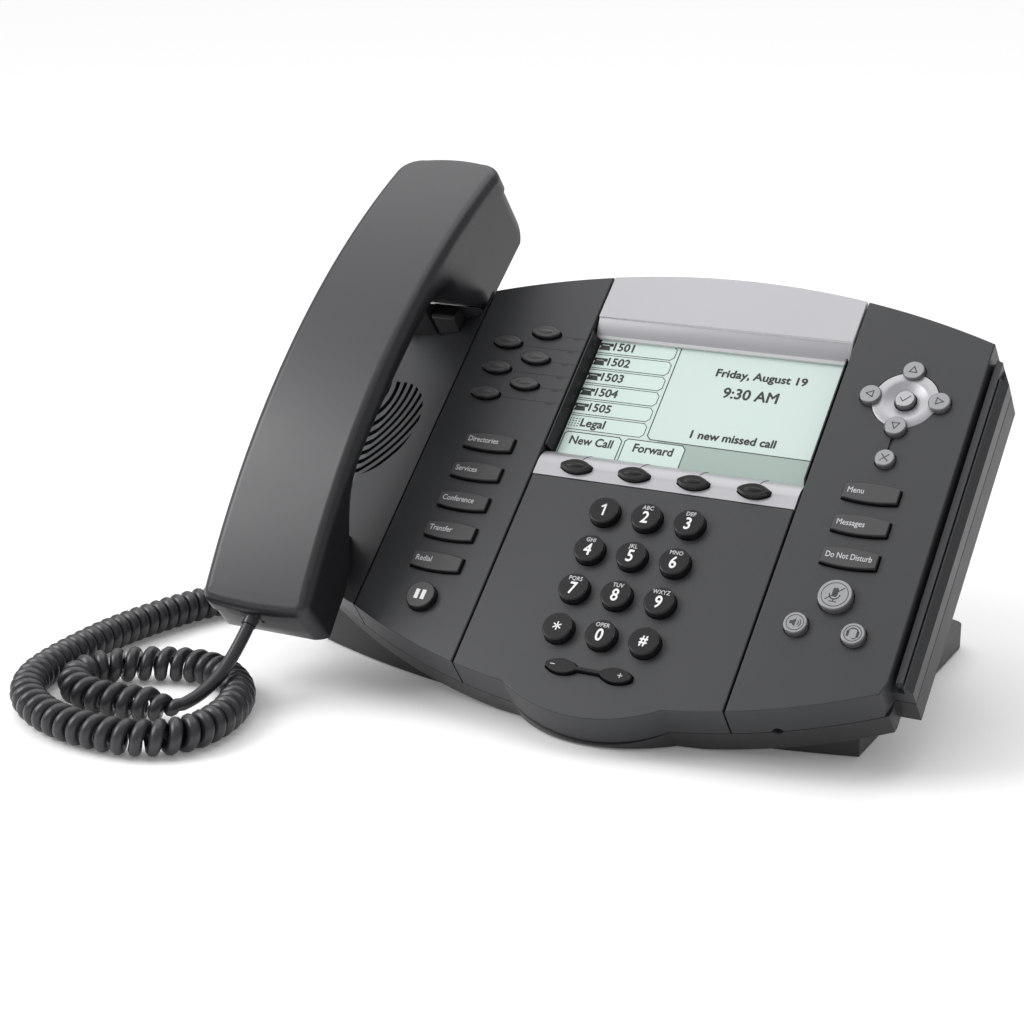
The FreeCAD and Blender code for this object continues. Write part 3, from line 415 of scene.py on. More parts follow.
def set_on(work: bmesh.types.BMesh, x: float, u: float, n: float, turn: float = 0.0,
           size: tuple[float, float] = (1.0, 1.0)) -> bmesh.types.BMesh:
    """Set flat work on the phone's face.

    Args:
        work: The shape, lying on the ground plane.
        x: Its place along the key rows, in mm.
        u: Its place up the slope, in mm.
        n: Its height over the face, in mm.
        turn: Turn about its own middle, in degrees.
        size: Stretch along x and u.

    Returns:
        The same shape.
    """
    place = Matrix.Translation((x * MM, u * MM, n * MM))
    spin = Matrix.Rotation(math.radians(turn), 4, "Z")
    stretch = Matrix.Diagonal((size[0], size[1], 1.0, 1.0))
    bmesh.ops.transform(work, matrix=FACE @ place @ spin @ stretch, verts=work.verts)
    return work


def join(parts: Iterable[bmesh.types.BMesh]) -> bmesh.types.BMesh:
    """Put several shapes into one.

    Args:
        parts: The shapes; they are freed.

    Returns:
        The joined shape.
    """
    whole = bmesh.new()
    for part in parts:
        mesh = bpy.data.meshes.new("part")
        part.to_mesh(mesh)
        part.free()
        whole.from_mesh(mesh)
        bpy.data.meshes.remove(mesh)
    return whole


def bar(x0: float, y0: float, x1: float, y1: float, width: float, height: float = 0.05) -> bmesh.types.BMesh:
    """Straight thin bar between two points of the ground plane, in mm.

    Args:
        x0: First point's x.
        y0: First point's y.
        x1: Second point's x.
        y1: Second point's y.
        width: Width of the bar.
        height: Its thickness.

    Returns:
        The bar.
    """
    work = bmesh.new()
    bmesh.ops.create_cube(work, size=1.0)
    length = math.hypot(x1 - x0, y1 - y0)
    turn = math.atan2(y1 - y0, x1 - x0)
    bmesh.ops.transform(work, verts=work.verts, matrix=(
        Matrix.Translation(((x0 + x1) / 2 * MM, (y0 + y1) / 2 * MM, 0.0))
        @ Matrix.Rotation(turn, 4, "Z")
        @ Matrix.Diagonal(((length + width) * MM, width * MM, height * MM, 1.0))))
    return work


def polyline(points: Sequence[tuple[float, float]], width: float, closed: bool = False) -> bmesh.types.BMesh:
    """Thin bars along points of the ground plane, in mm.

    Args:
        points: The points.
        width: Width of the line.
        closed: Whether the last point joins the first.

    Returns:
        The line.
    """
    ends = list(points[1:]) + ([points[0]] if closed else [])
    return join([bar(*start, *end, width) for start, end in zip(points, ends)])


def plate(points: Sequence[tuple[float, float]], height: float = 0.05) -> bmesh.types.BMesh:
    """Flat plate with the outline given, in mm.

    Args:
        points: The outline, anticlockwise.
        height: Its thickness.

    Returns:
        The plate.
    """
    work = bmesh.new()
    face = work.faces.new([work.verts.new((x * MM, y * MM, -height * MM / 2)) for x, y in points])
    lifted = bmesh.ops.extrude_face_region(work, geom=[face])
    tops = [item for item in lifted["geom"] if isinstance(item, bmesh.types.BMVert)]
    bmesh.ops.translate(work, vec=(0.0, 0.0, height * MM), verts=tops)
    bmesh.ops.recalc_face_normals(work, faces=work.faces)
    return work


def turned(profile: Sequence[tuple[float, float]], steps: int = 40) -> bmesh.types.BMesh:
    """Solid of revolution about the vertical, in mm.

    Args:
        profile: Radius and height of each point, from the axis outwards and round to the axis again.
        steps: Steps round the turn.

    Returns:
        The solid.
    """
    work = bmesh.new()
    verts = [work.verts.new((radius * MM, 0.0, height * MM)) for radius, height in profile]
    edges = [work.edges.new(pair) for pair in zip(verts, verts[1:])]
    bmesh.ops.spin(work, geom=verts + edges, cent=(0, 0, 0), axis=(0, 0, 1), angle=math.tau, steps=steps,
                   use_merge=True)
    bmesh.ops.remove_doubles(work, verts=work.verts, dist=0.000001)
    bmesh.ops.recalc_face_normals(work, faces=work.faces)
    return work


def rod(points: Sequence[tuple[float, float, float]], radius: float) -> bmesh.types.BMesh:
    """Thin round rod along points, in mm.

    Args:
        points: The points.
        radius: Its radius.

    Returns:
        The rod.
    """
    data = bpy.data.curves.new("rod", "CURVE")
    data.dimensions = "3D"
    spline = data.splines.new("POLY")
    spline.points.add(len(points) - 1)
    for knot, place in zip(spline.points, points):
        knot.co = (*(part * MM for part in place), 1.0)
    data.bevel_depth = radius * MM
    data.bevel_resolution = 1
    data.use_fill_caps = True
    return curve_work(data)


# ---- the cord -------------------------------------------------------------------------------------------
@dataclass
class HandsetCord:
    """The coiled cord from the handset's lower end to the stand, lying on the desk."""

    wire: float = 0.0052
    coil: float = 0.0145
    steps: int = 20
    runout: float = 0.016
    lead: tuple[tuple[float, float, float], ...] = (
        (-0.1173, -0.0962, 0.03011), (-0.1173, -0.10765, 0.02027), (-0.1199, -0.1210, 0.0116),
        (-0.1254, -0.13385, 0.0073))
    lay: tuple[tuple[float, float], ...] = (
        (-0.1374, -0.1358), (-0.1492, -0.13772), (-0.1626, -0.1384), (-0.1746, -0.1342), (-0.1816, -0.1234),
        (-0.1798, -0.1122), (-0.1705, -0.1028), (-0.1575, -0.0956), (-0.1425, -0.0916), (-0.1278, -0.0958),
        (-0.1146, -0.1074), (-0.1068, -0.1234), (-0.1044, -0.1406), (-0.1086, -0.1564), (-0.1218, -0.1656),
        (-0.1386, -0.1674), (-0.1560, -0.1656), (-0.1724, -0.1594), (-0.1864, -0.1492), (-0.1956, -0.1348),
        (-0.1990, -0.1176), (-0.1998, -0.0996), (-0.1996, -0.0816), (-0.1974, -0.0640), (-0.1936, -0.0468),
        (-0.1886, -0.0300), (-0.1806, -0.0146), (-0.1694, -0.0024), (-0.1540, 0.0070), (-0.1373, 0.0070))
    lie: float = 0.0073

    def curve(self, points: Sequence[Sequence[float]], bevel: float = 0.0,
              resolution: int = 12) -> bpy.types.Mesh:
        """Smooth line or round tube through the pull of some points.

        Args:
            points: Control points of the spline.
            bevel: Radius of the tube, or 0 for a bare line.
            resolution: Steps between the points.

        Returns:
            The mesh of the line or tube.
        """
        data = bpy.data.curves.new("cord line", "CURVE")
        data.dimensions = "3D"
        data.resolution_u = resolution
        spline = data.splines.new("NURBS")
        spline.points.add(len(points) - 1)
        for knot, place in zip(spline.points, points):
            knot.co = (*place, 1.0)
        spline.order_u = 3
        spline.use_endpoint_u = True
        spline.resolution_u = resolution
        data.bevel_depth = bevel
        data.bevel_resolution = 3
        data.use_fill_caps = bevel > 0
        holder = bpy.data.objects.new("cord line", data)
        mesh = bpy.data.meshes.new_from_object(holder)
        bpy.data.objects.remove(holder)
        return mesh

    def pitch(self, part: float) -> float:
        """Distance between turns: looser in the inner loop and along the front, close elsewhere.

        Args:
            part: Share of the coil's length, from the lead.

        Returns:
            The pitch.
        """
        inner = max(0.0, 1.0 - abs(part - 0.13) / 0.16)
        front = max(0.0, 1.0 - abs(part - 0.52) / 0.13)
        return 0.0056 + 0.0012 * min(1.0, 2 * inner) + 0.0008 * min(1.0, 2 * front)

    def helix(self) -> list[Vector]:
        """Line of the cord: the straight lead, then turns about the route.

        Returns:
            Points along the cord, from the handset to the stand.
        """
        route = [*self.lead, *((x, y, self.lie) for x, y in self.lay)]
        line = [vert.co.copy() for vert in self.curve(route, resolution=24).vertices]
        lengths = [0.0]
        for here, there in zip(line, line[1:]):
            lengths.append(lengths[-1] + (there - here).length)
        lead_end = next(reach for reach, spot in zip(lengths, line) if spot.z < self.lie + 0.0012)
        radius = (self.coil - self.wire) / 2
        side = Vector((0.0, 0.0, 1.0))
        points = [line[0]]
        reach, phase, index = 0.003, -math.pi / 2, 0
        total = lengths[-1]
        while reach < total - 0.0005:
            while lengths[index + 1] < reach:
                index += 1
            share = (reach - lengths[index]) / (lengths[index + 1] - lengths[index])
            spot = line[index].lerp(line[index + 1], share)
            ahead = (line[index + 1] - line[index]).normalized()
            side = (side - ahead * side.dot(ahead)).normalized()
            if reach < lead_end:
                points.append(spot)
                reach += 0.003
                continue
            along = (reach - lead_end) / (total - lead_end)
            swell = min(1.0, (reach - lead_end) / self.runout)
            close = min(1.0, (total - reach) / (0.5 * self.runout))
            swell = min(swell * swell * (3 - 2 * swell), close * close * (3 - 2 * close))
            across = ahead.cross(side)
            points.append(spot + (side * math.sin(phase) + across * math.cos(phase)) * radius * swell)
            phase += math.tau / self.steps
            reach += self.pitch(along) / self.steps
        points.append(line[-1])
        return points

    def build(self) -> bpy.types.Object:
        """Returns:
            The cord.
        """
        points = self.helix()
        path = [vert.co.copy() for vert in self.curve(points, resolution=1).vertices]
        tube = self.curve(points, bevel=self.wire / 2, resolution=1)
        tube.materials.append(CORD_SKIN.material())
        tube.polygons.foreach_set("use_smooth", [True] * len(tube.polygons))
        cord = bpy.data.objects.new("handset_cord", tube)
        bpy.context.scene.collection.objects.link(cord)
        length = sum((there - here).length for here, there in zip(path, path[1:]))
        LOG.info("cord: %.2f m of wire, %d points", length, len(path))
        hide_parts("handset_cord_lead", "handset_cord_coil")
        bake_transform(cord)
        return cord


# ---- the handset ----------------------------------------------------------------------------------------
@dataclass
class HandsetShells:
    """The two shells of the handset, split along a line down its sides.

    The inner shell's handle is drawn in towards its underside, between the receiver's and the mouthpiece's
    blocks, so that it fills the hand.
    """

    middle: float = -136.0
    parting: tuple[tuple[float, float], ...] = ((170.0, 16.6), (60.0, 40.5), (-63.5, 15.0))
    underside: float = 27.8
    handle: tuple[float, float, float, float] = (-26.0, 6.0, 84.0, 103.0)
    fall: float = 0.55

    def parting_height(self, u: float) -> float:
        """Height of the parting line, in mm, at a place along the handset.

        Args:
            u: The place, in mm.

        Returns:
            The height.
        """
        (u0, n0), (u1, n1), (u2, n2) = self.parting
        first = (n1 - n0) / (u1 - u0)
        second = ((n2 - n1) / (u2 - u1) - first) / (u2 - u0)
        return n0 + first * (u - u0) + second * (u - u0) * (u - u1)

    def grip(self, u: float) -> float:
        """How much the handle is drawn in at a place along it.

        Args:
            u: The place, in mm.

        Returns:
            A share from 0, at the blocks, to 1.
        """
        start, full, last, end = self.handle
        share = min(1.0, max(0.0, (u - start) / (full - start)), max(0.0, (end - u) / (end - last)))
        return share * share * (3 - 2 * share)

    def draw_in(self, work: bmesh.types.BMesh) -> None:
        """Narrow the handle towards its underside along part of an oval.

        Args:
            work: The inner shell, in place.
        """
        to_face = FACE.inverted()
        for vert in work.verts:
            place = to_face @ vert.co
            u, n = place.y / MM, place.z / MM
            share = self.grip(u)
            top = self.parting_height(u)
            if share <= 0.0 or n > top:
                continue
            floor = self.underside - max(0.0, self.handle[1] - u) * self.fall
            reach = 1.3 * max(8.0, top - floor)
            narrow = math.sqrt(max(0.34, 1.0 - ((top - n) / reach) ** 2))
            place.x = self.middle * MM + (place.x - self.middle * MM) * (1.0 - share * (1.0 - narrow))
            vert.co = FACE @ place

    def slice_up(self, work: bmesh.types.BMesh) -> None:
        """Cut the shell's faces along and across, so that it can be drawn in smoothly.

        Args:
            work: The inner shell, in place.
        """
        across = FACE.to_3x3() @ Vector((0.0, 1.0, 0.0))
        for step in range(23):
            spot = FACE @ Vector((0.0, (-27.0 + 6.0 * step) * MM, 0.0))
            bmesh.ops.bisect_plane(work, geom=[*work.verts, *work.edges, *work.faces], dist=0.00001,
                                   plane_co=spot, plane_no=across)
        for step in range(14):
            spot = FACE @ Vector((0.0, 0.0, (10.0 + 2.4 * step) * MM))
            bmesh.ops.bisect_plane(work, geom=[*work.verts, *work.edges, *work.faces], dist=0.00001,
                                   plane_co=spot, plane_no=FACE_NORMAL)

    def build(self) -> None:
        """Replace both CAD shells."""
        # Faces of the outer shell turned away from the face take the darker copy: painted shade.
        soften("handset_outer_shell", HANDSET_SHELL, HANDSET, 0.0004, 2, 30.0,
               sides=HANDSET_PAINTED_SHADE)
        work = merged_copy("handset_inner_shell")
        to_face = FACE.inverted()
        low = []
        for edge in work.edges:
            if len(edge.link_faces) != 2 or not edge.is_convex or edge.calc_face_angle() < 0.5:
                continue
            ends = [to_face @ vert.co for vert in edge.verts]
            if all(end.z / MM < self.parting_height(end.y / MM) - 3.0 for end in ends):
                low.append(edge)
        bmesh.ops.bevel(work, geom=low, offset=0.0018, offset_type="OFFSET", segments=4, profile=0.5,
                        affect="EDGES", clamp_overlap=True, material=-1)
        self.slice_up(work)
        self.draw_in(work)
        # The whole inner shell takes the darker copy of the handset plastic: painted shade.
        made = piece_from(work, "handset_inner_shell_skin", HANDSET_PAINTED_SHADE, HANDSET, 40.0)
        round_edges(made, "handset_inner_shell", 0.0003, 2, 50.0)


# ---- keys -----------------------------------------------------------------------------------------------
class Side(Enum):
    """Sides of the navigation disc that an arrow key stands at."""

    UP = (0, 1, 0.0)
    DOWN = (0, -1, 180.0)
    LEFT = (-1, 0, 90.0)
    RIGHT = (1, 0, -90.0)


@dataclass
class Keys:
    """The dark keys: each cap's finish and its legend."""

    pitch: float = 18.0
    dial_top: float = 3.6
    feature_pitch: float = 14.75
    feature_top: float = 43.3
    feature_width: float = 22.2
    left_x: float = -79.8
    right_x: float = 83.6
    line_places: tuple[tuple[float, float], ...] = (
        (-75.6, 101.3), (-91.2, 94.5), (-75.6, 87.8), (-91.2, 81.0), (-75.6, 74.3), (-91.2, 67.5))
    soft_places: tuple[float, ...] = (-38.1, -12.75, 12.6, 37.95)
    soft_u: float = 37.6
    lens_top: float = 2.0

    def dress(self, node: str, top: Finish, width: float = 0.0003) -> None:
        """Round a key's edges and give it its finishes.

        Args:
            node: The key's node and body.
            top: Finish of its top; its sides get a near-black copy of the key plastic, painted shade.
            width: Width of the rounding.
        """
        soften(node, top, node, width, 2, 20.0, sides=KEY_SIDE_SHADE)

    def legend(self, node: str, work: bmesh.types.BMesh, finish: Finish = INK_WHITE,
               part: str = "legend") -> None:
        """Let a legend ride on its key.

        Args:
            node: The key's node and body.
            work: The legend, in place.
            finish: Its ink.
            part: Last word of the piece's name.
        """
        piece_from(work, "%s_%s" % (node, part), finish, node, 60.0)

    def ridge(self, node: str, x: float, u: float, length: float, top: Finish) -> None:
        """Low crest along the middle of a lens key.

        Args:
            node: The key's node and body.
            x: The key's place.
            u: The key's place.
            length: Length of the crest, in mm.
            top: Finish of the key's top.
        """
        work = bmesh.new()
        bmesh.ops.create_cone(work, cap_ends=True, segments=24, radius1=length / 2 * MM,
                              radius2=length / 5 * MM, depth=0.5 * MM)
        bmesh.ops.bevel(work, geom=work.edges[:], offset=0.0001, offset_type="OFFSET", segments=2, profile=0.5,
                        affect="EDGES", clamp_overlap=True, material=-1)
        piece_from(set_on(work, x, u, self.lens_top + 0.1, size=(1.0, 0.3)), node + "_crest", top, node,
                   60.0)

    def dial(self) -> None:
        """Dial pad: a digit on each key with its letters above."""
        rows = [("1", "", "1"), ("2", "ABC", "2"), ("3", "DEF", "3"), ("4", "GHI", "4"), ("5", "JKL", "5"),
                ("6", "MNO", "6"), ("7", "PQRS", "7"), ("8", "TUV", "8"), ("9", "WXYZ", "9"),
                ("*", "", "star"), ("0", "OPER", "0"), ("#", "", "pound")]
        height = self.dial_top + 0.03
        for index, (digit, letters, name) in enumerate(rows):
            node = "dial_key_" + name
            x = (index % 3 - 1) * self.pitch
            u = (1 - index // 3) * self.pitch
            self.dress(node, KEY_BLACK, 0.0004)
            if digit == "*":
                marks = join([bar(-1.6 * math.cos(a), -1.6 * math.sin(a), 1.6 * math.cos(a),
                                  1.6 * math.sin(a), 0.5)
                              for a in (math.pi / 2, math.pi / 6, -math.pi / 6)])
                self.legend(node, set_on(marks, x, u, height))
                continue
            tall = 4.4 if digit == "#" else 5.2
            text = flat_text(digit, tall * MM, bold=0.00014)
            if digit == "1":
                text = join([bar(0.35, -2.25, 0.35, 2.25, 0.85), bar(-1.15, 1.35, 0.35, 2.3, 0.75)])
            drop = -1.0 if letters else 0.0
            self.legend(node, set_on(text, x, u + drop, height, size=(0.86, 1.0)))
            if letters:
                small = flat_text(letters, 1.75 * MM, bold=0.00004, spacing=1.06)
                self.legend(node, set_on(small, x, u + 3.5, height, size=(0.92, 1.0)), INK_PALE, "letters")

    def features(self) -> None:
        """Barrel keys with their names."""
        left = ["directories", "services", "conference", "transfer", "redial"]
        right = ["menu", "messages", "do_not_disturb"]
        places = [(name, self.left_x, row) for row, name in enumerate(left)]
        places += [(name, self.right_x, row) for row, name in enumerate(right)]
        for name, x, row in places:
            node = "key_" + name
            u = self.feature_top - self.feature_pitch * row
            self.dress(node, KEY_GREY)
            text = flat_text(name.replace("_", " ").title(), 2.5 * MM, bold=0.00003)
            reaches = [vert.co.x for vert in text.verts]
            shrink = min(0.84, (self.feature_width - 4.2) * MM / (max(reaches) - min(reaches)))
            start = x - self.feature_width / 2 + 1.9 - min(reaches) * shrink / MM
            self.legend(node, set_on(text, start, u + 0.3, 1.83, size=(shrink, 1.0)), INK_PALE)

    def lenses(self) -> None:
        """Line keys and soft keys."""
        for index, (x, u) in enumerate(self.line_places):
            node = "line_key_%d" % (index + 1)
            self.dress(node, KEY_GREY)
            self.ridge(node, x, u, 9.0, KEY_GREY)
        for index, x in enumerate(self.soft_places):
            node = "soft_key_%d" % (index + 1)
            self.dress(node, KEY_BLACK)
            self.ridge(node, x, self.soft_u, 9.4, KEY_BLACK)

    def build(self) -> None:
        """Dress all the dark keys."""
        self.dial()
        self.features()
        self.lenses()
        self.dress("key_hold", KEY_GREY, 0.0004)
        hold = join([bar(side * 1.4, -1.3, side * 1.4, 1.3, 1.7) for side in (-1, 1)])
        self.legend("key_hold", set_on(hold, self.left_x, -32.2, 3.03))
        self.dress("key_volume", KEY_BLACK)
        signs = join([bar(-15.4, 0.0, -13.9, 0.0, 0.35), bar(12.5, 0.0, 14.1, 0.0, 0.35),
                      bar(13.3, -0.8, 13.3, 0.8, 0.35)])
        self.legend("key_volume", set_on(signs, 0.0, -51.3, 1.93), INK_PALE)


# ---- navigation and audio keys --------------------------------------------------------------------------
@dataclass
class Navigation:
    """The silver disc with its four arrows, the select key in its well and the delete key below."""

    x: float = 84.3
    u: float = 88.5
    arrow_x: float = 13.8
    arrow_u: float = 13.4
    delete_u: float = 59.8
    top: float = 2.2
    select_top: float = 1.4

    def disc(self) -> None:
        """Shallow silver disc with a conical well round the select key."""
        profile = [(4.6, -1.15), (4.6, -0.95), (5.2, -0.85), (8.4, 0.35), (9.0, 0.55), (9.8, 0.6),
                   (12.2, 0.4), (12.9, 0.2), (13.15, -0.2), (13.15, -1.15), (4.6, -1.15)]
        work = set_on(turned(profile, 72), self.x, self.u, 0.0)
        piece_from(work, "navigation_disc", SILVER, BODY, 40.0)

    def mark(self, node: str, work: bmesh.types.BMesh) -> None:
        """Let a dark sign ride on its key.

        Args:
            node: The key's node and body.
            work: The sign, in place.
        """
        piece_from(work, node + "_legend", INK_GREY, node, 60.0)

    def build(self) -> None:
        """Make the disc and dress its keys."""
        self.disc()
        for side in Side:
            across, along, turn = side.value
            node = "key_arrow_" + side.name.lower()
            # The arrow key's sides take the darker frosted copy: painted shade.
            soften(node, KEY_CLEAR, node, 0.0005, 3, 20.0, sides=KEY_CLEAR_SHADE)
            outline = polyline([(0.0, 1.6), (-1.5, -1.1), (1.5, -1.1)], 0.42, closed=True)
            self.mark(node, set_on(outline, self.x + across * self.arrow_x, self.u + along * self.arrow_u,
                                   self.top + 0.02, turn))
        # The select key's sides take the darker frosted copy: painted shade.
        soften("key_select", SILVER, "key_select", 0.0004, 2, 20.0, sides=KEY_CLEAR_SHADE)
        self.mark("key_select", set_on(polyline([(-1.8, 0.2), (-0.5, -1.3), (2.0, 1.4)], 0.4), self.x, self.u,
                                       self.select_top + 0.02))
        # The delete key's sides take the darker frosted copy: painted shade.
        soften("key_delete", KEY_CLEAR, "key_delete", 0.0005, 3, 20.0, sides=KEY_CLEAR_SHADE)
        self.mark("key_delete", set_on(join([bar(-1.5, -1.5, 1.5, 1.5, 0.42), bar(-1.5, 1.5, 1.5, -1.5, 0.42)]),
                                       self.x, self.delete_u, self.top + 0.02))


@dataclass
class AudioKeys:
    """Mute, speaker and headset keys with a ring and a sign on each."""

    mute: tuple[float, float, float] = (83.2, -3.2, 2.8)
    speaker: tuple[float, float, float] = (71.9, -17.2, 2.4)
    headset: tuple[float, float, float] = (94.3, -17.9, 2.4)

    def ring(self, radius: float, width: float) -> bmesh.types.BMesh:
        """Thin flat ring.

        Args:
            radius: Its outer radius, in mm.
            width: Its width.

        Returns:
            The ring.
        """
        return turned([(radius - width, -0.03), (radius, -0.03), (radius, 0.03), (radius - width, 0.03),
                       (radius - width, -0.03)], 40)

    def build(self) -> None:
        """Dress the three keys."""
        arcs = {name: [(math.cos(math.radians(a)), math.sin(math.radians(a))) for a in range(start, end, 15)]
                for name, start, end in (("cup", 180, 361), ("wave", -45, 46), ("band", 0, 181))}
        mike = [plate([(-1.1, -0.2), (-0.8, -1.0), (0.8, -1.0), (1.1, -0.2), (1.1, 2.0), (0.8, 2.8),
                       (-0.8, 2.8), (-1.1, 2.0)]),
                bar(0.0, -2.9, 0.0, -2.0, 0.4), bar(-1.3, -3.1, 1.3, -3.1, 0.4),
                bar(-3.0, -2.4, 3.0, 3.2, 0.4), polyline([(2.0 * x, 2.0 * y) for x, y in arcs["cup"]], 0.4)]
        horn = [plate([(-2.1, -0.7), (-1.1, -0.7), (0.2, -1.8), (0.2, 1.8), (-1.1, 0.7), (-2.1, 0.7)]),
                *(polyline([(0.2 + r * x, r * y) for x, y in arcs["wave"]], 0.32) for r in (1.1, 2.0))]
        phones = [polyline([(2.0 * x, 0.2 + 2.0 * y) for x, y in arcs["band"]], 0.4),
                  bar(-1.9, -0.9, -1.9, 0.4, 1.0), bar(1.9, -0.9, 1.9, 0.4, 1.0),
                  polyline([(1.9, -1.2), (1.2, -2.1), (0.2, -2.2)], 0.35)]
        for name, place, parts, radius in (("mute", self.mute, mike, 5.2), ("speaker", self.speaker, horn, 3.4),
                                           ("headset", self.headset, phones, 3.4)):
            node = "key_" + name
            # The key's sides take the darker frosted copy: painted shade.
            soften(node, KEY_CLEAR, node, 0.0006, 3, 20.0, sides=KEY_CLEAR_SHADE)
            x, u, top = place
            piece_from(set_on(join([*parts, self.ring(radius, 0.28)]), x, u, top + 0.02), node + "_legend",
                       INK_GREY, node, 60.0)


# ---- the display ----------------------------------------------------------------------------------------
@dataclass
class Display:
    """What the grey screen shows."""

    n: float = -6.46
    left: float = -53.4
    right: float = 54.0
    top: float = 107.0

    def lay(self, work: bmesh.types.BMesh, name: str, finish: Finish, lift: float = 0.0) -> None:
        """Lay flat work on the screen.

        Args:
            work: The shape.
            name: The piece's name.
            finish: Its colour.
            lift: Its height over the screen, in mm.
        """
        piece_from(set_on(work, 0.0, 0.0, self.n + lift), name, finish, BODY, 60.0)

    def tab(self, x0: float, u0: float, x1: float, u1: float, corner: float = 1.5) -> list[tuple[float, float]]:
        """Outline of a tab with its right corners cut.

        Args:
            x0: Left edge.
            u0: Lower edge.
            x1: Right edge.
            u1: Upper edge.
            corner: Size of the cut.

        Returns:
            The outline's points.
        """
        return [(x0, u0), (x1 - corner, u0), (x1, u0 + corner), (x1, u1 - corner), (x1 - corner, u1), (x0, u1)]

    def build(self) -> None:
        """Make the screen's pale field, tabs and lettering."""
        self.lay(plate([(self.left, 46.0), (self.right, 46.0), (self.right, self.top), (self.left, self.top)],
                       0.04), "screen_field", SCREEN)
        self.lay(plate([(-12.0, 46.0), (self.right, 46.0), (self.right, 59.0),
                        (-12.0, 59.4)], 0.04), "screen_foot", SCREEN_FOOT, lift=0.02)
        tabs = []
        lines = []
        words = []
        for index in range(6):
            top = 106.4 - 7.9 * index
            outline = self.tab(self.left, top - 6.9, -18.9, top)
            tabs.append(plate(outline, 0.04))
            lines.append(polyline(outline, 0.3))
            text = "Legal" if index == 5 else "150%d" % (index + 1)
            words.append(set_on_flat(flat_text(text, 3.9 * MM, bold=0.00016), -42.4, top - 3.4, 1.0))
            sign = keypad_sign() if index == 5 else phone_sign()
            words.append(set_on_flat(sign, -50.8, top - 3.4, 1.1))
        for x0, x1, text in ((-52.8, -27.0, "New Call"), (-25.6, 0.8, "Forward")):
            outline = [(x0, 46.0), (x1, 46.0), (x1, 57.0), (x1 - 1.6, 58.6), (x0 + 1.2, 58.6), (x0, 57.4)]
            tabs.append(plate(outline, 0.04))
            lines.append(polyline(outline, 0.42, closed=True))
            words.append(set_on_flat(flat_text(text, 3.9 * MM, bold=0.00016), (x0 + x1) / 2, 54.6, 0.92))
        lines.append(polyline([(-17.2, self.top), (-17.2, 61.4), (-15.4, 59.6), (self.right, 59.2)], 0.42))
        for text, x, u, size, wide in (("Friday, August 19", 21.0, 95.9, 3.7, 1.06),
                                       ("9:30 AM", 19.4, 86.4, 5.0, 0.98),
                                       ("1 new missed call", 18.4, 64.6, 3.7, 1.0)):
            words.append(set_on_flat(flat_text(text, size * MM, bold=0.00016), x, u, wide))
        self.lay(join(tabs), "screen_tabs", TAB_PALE, lift=0.04)
        self.lay(join(lines), "screen_lines", INK_GREEN, lift=0.07)
        self.lay(join(words), "screen_words", INK_DARK, lift=0.08)


def set_on_flat(work: bmesh.types.BMesh, x: float, y: float, narrow: float) -> bmesh.types.BMesh:
    """Move flat work on the ground plane, in mm, and narrow it.

    Args:
        work: The shape.
        x: Its new middle's x.
        y: Its new middle's y.
        narrow: Stretch along x.

    Returns:
        The same shape.
    """
    place = Matrix.Translation((x * MM, y * MM, 0.0)) @ Matrix.Diagonal((narrow, 1.0, 1.0, 1.0))
    bmesh.ops.transform(work, matrix=place, verts=work.verts)
    return work


def phone_sign() -> bmesh.types.BMesh:
    """Small telephone sign: a body with its handset on top.

    Returns:
        The sign.
    """
    return join([plate([(-2.4, -2.0), (2.4, -2.0), (1.7, 0.4), (-1.7, 0.4)]), bar(-2.6, 1.2, 2.6, 1.2, 0.9),
                 bar(-2.6, 0.6, -2.0, 0.6, 1.0), bar(2.0, 0.6, 2.6, 0.6, 1.0)])


def keypad_sign() -> bmesh.types.BMesh:
    """Small sign of keys in rows.

    Returns:
        The sign.
    """
    dots = []
    for index in range(16):
        x = (index % 4 - 1.5) * 1.2
        y = (index // 4 - 1.5) * 1.2
        dots.append(bar(x - 0.05, y, x + 0.05, y, 0.45))
    return join(dots)


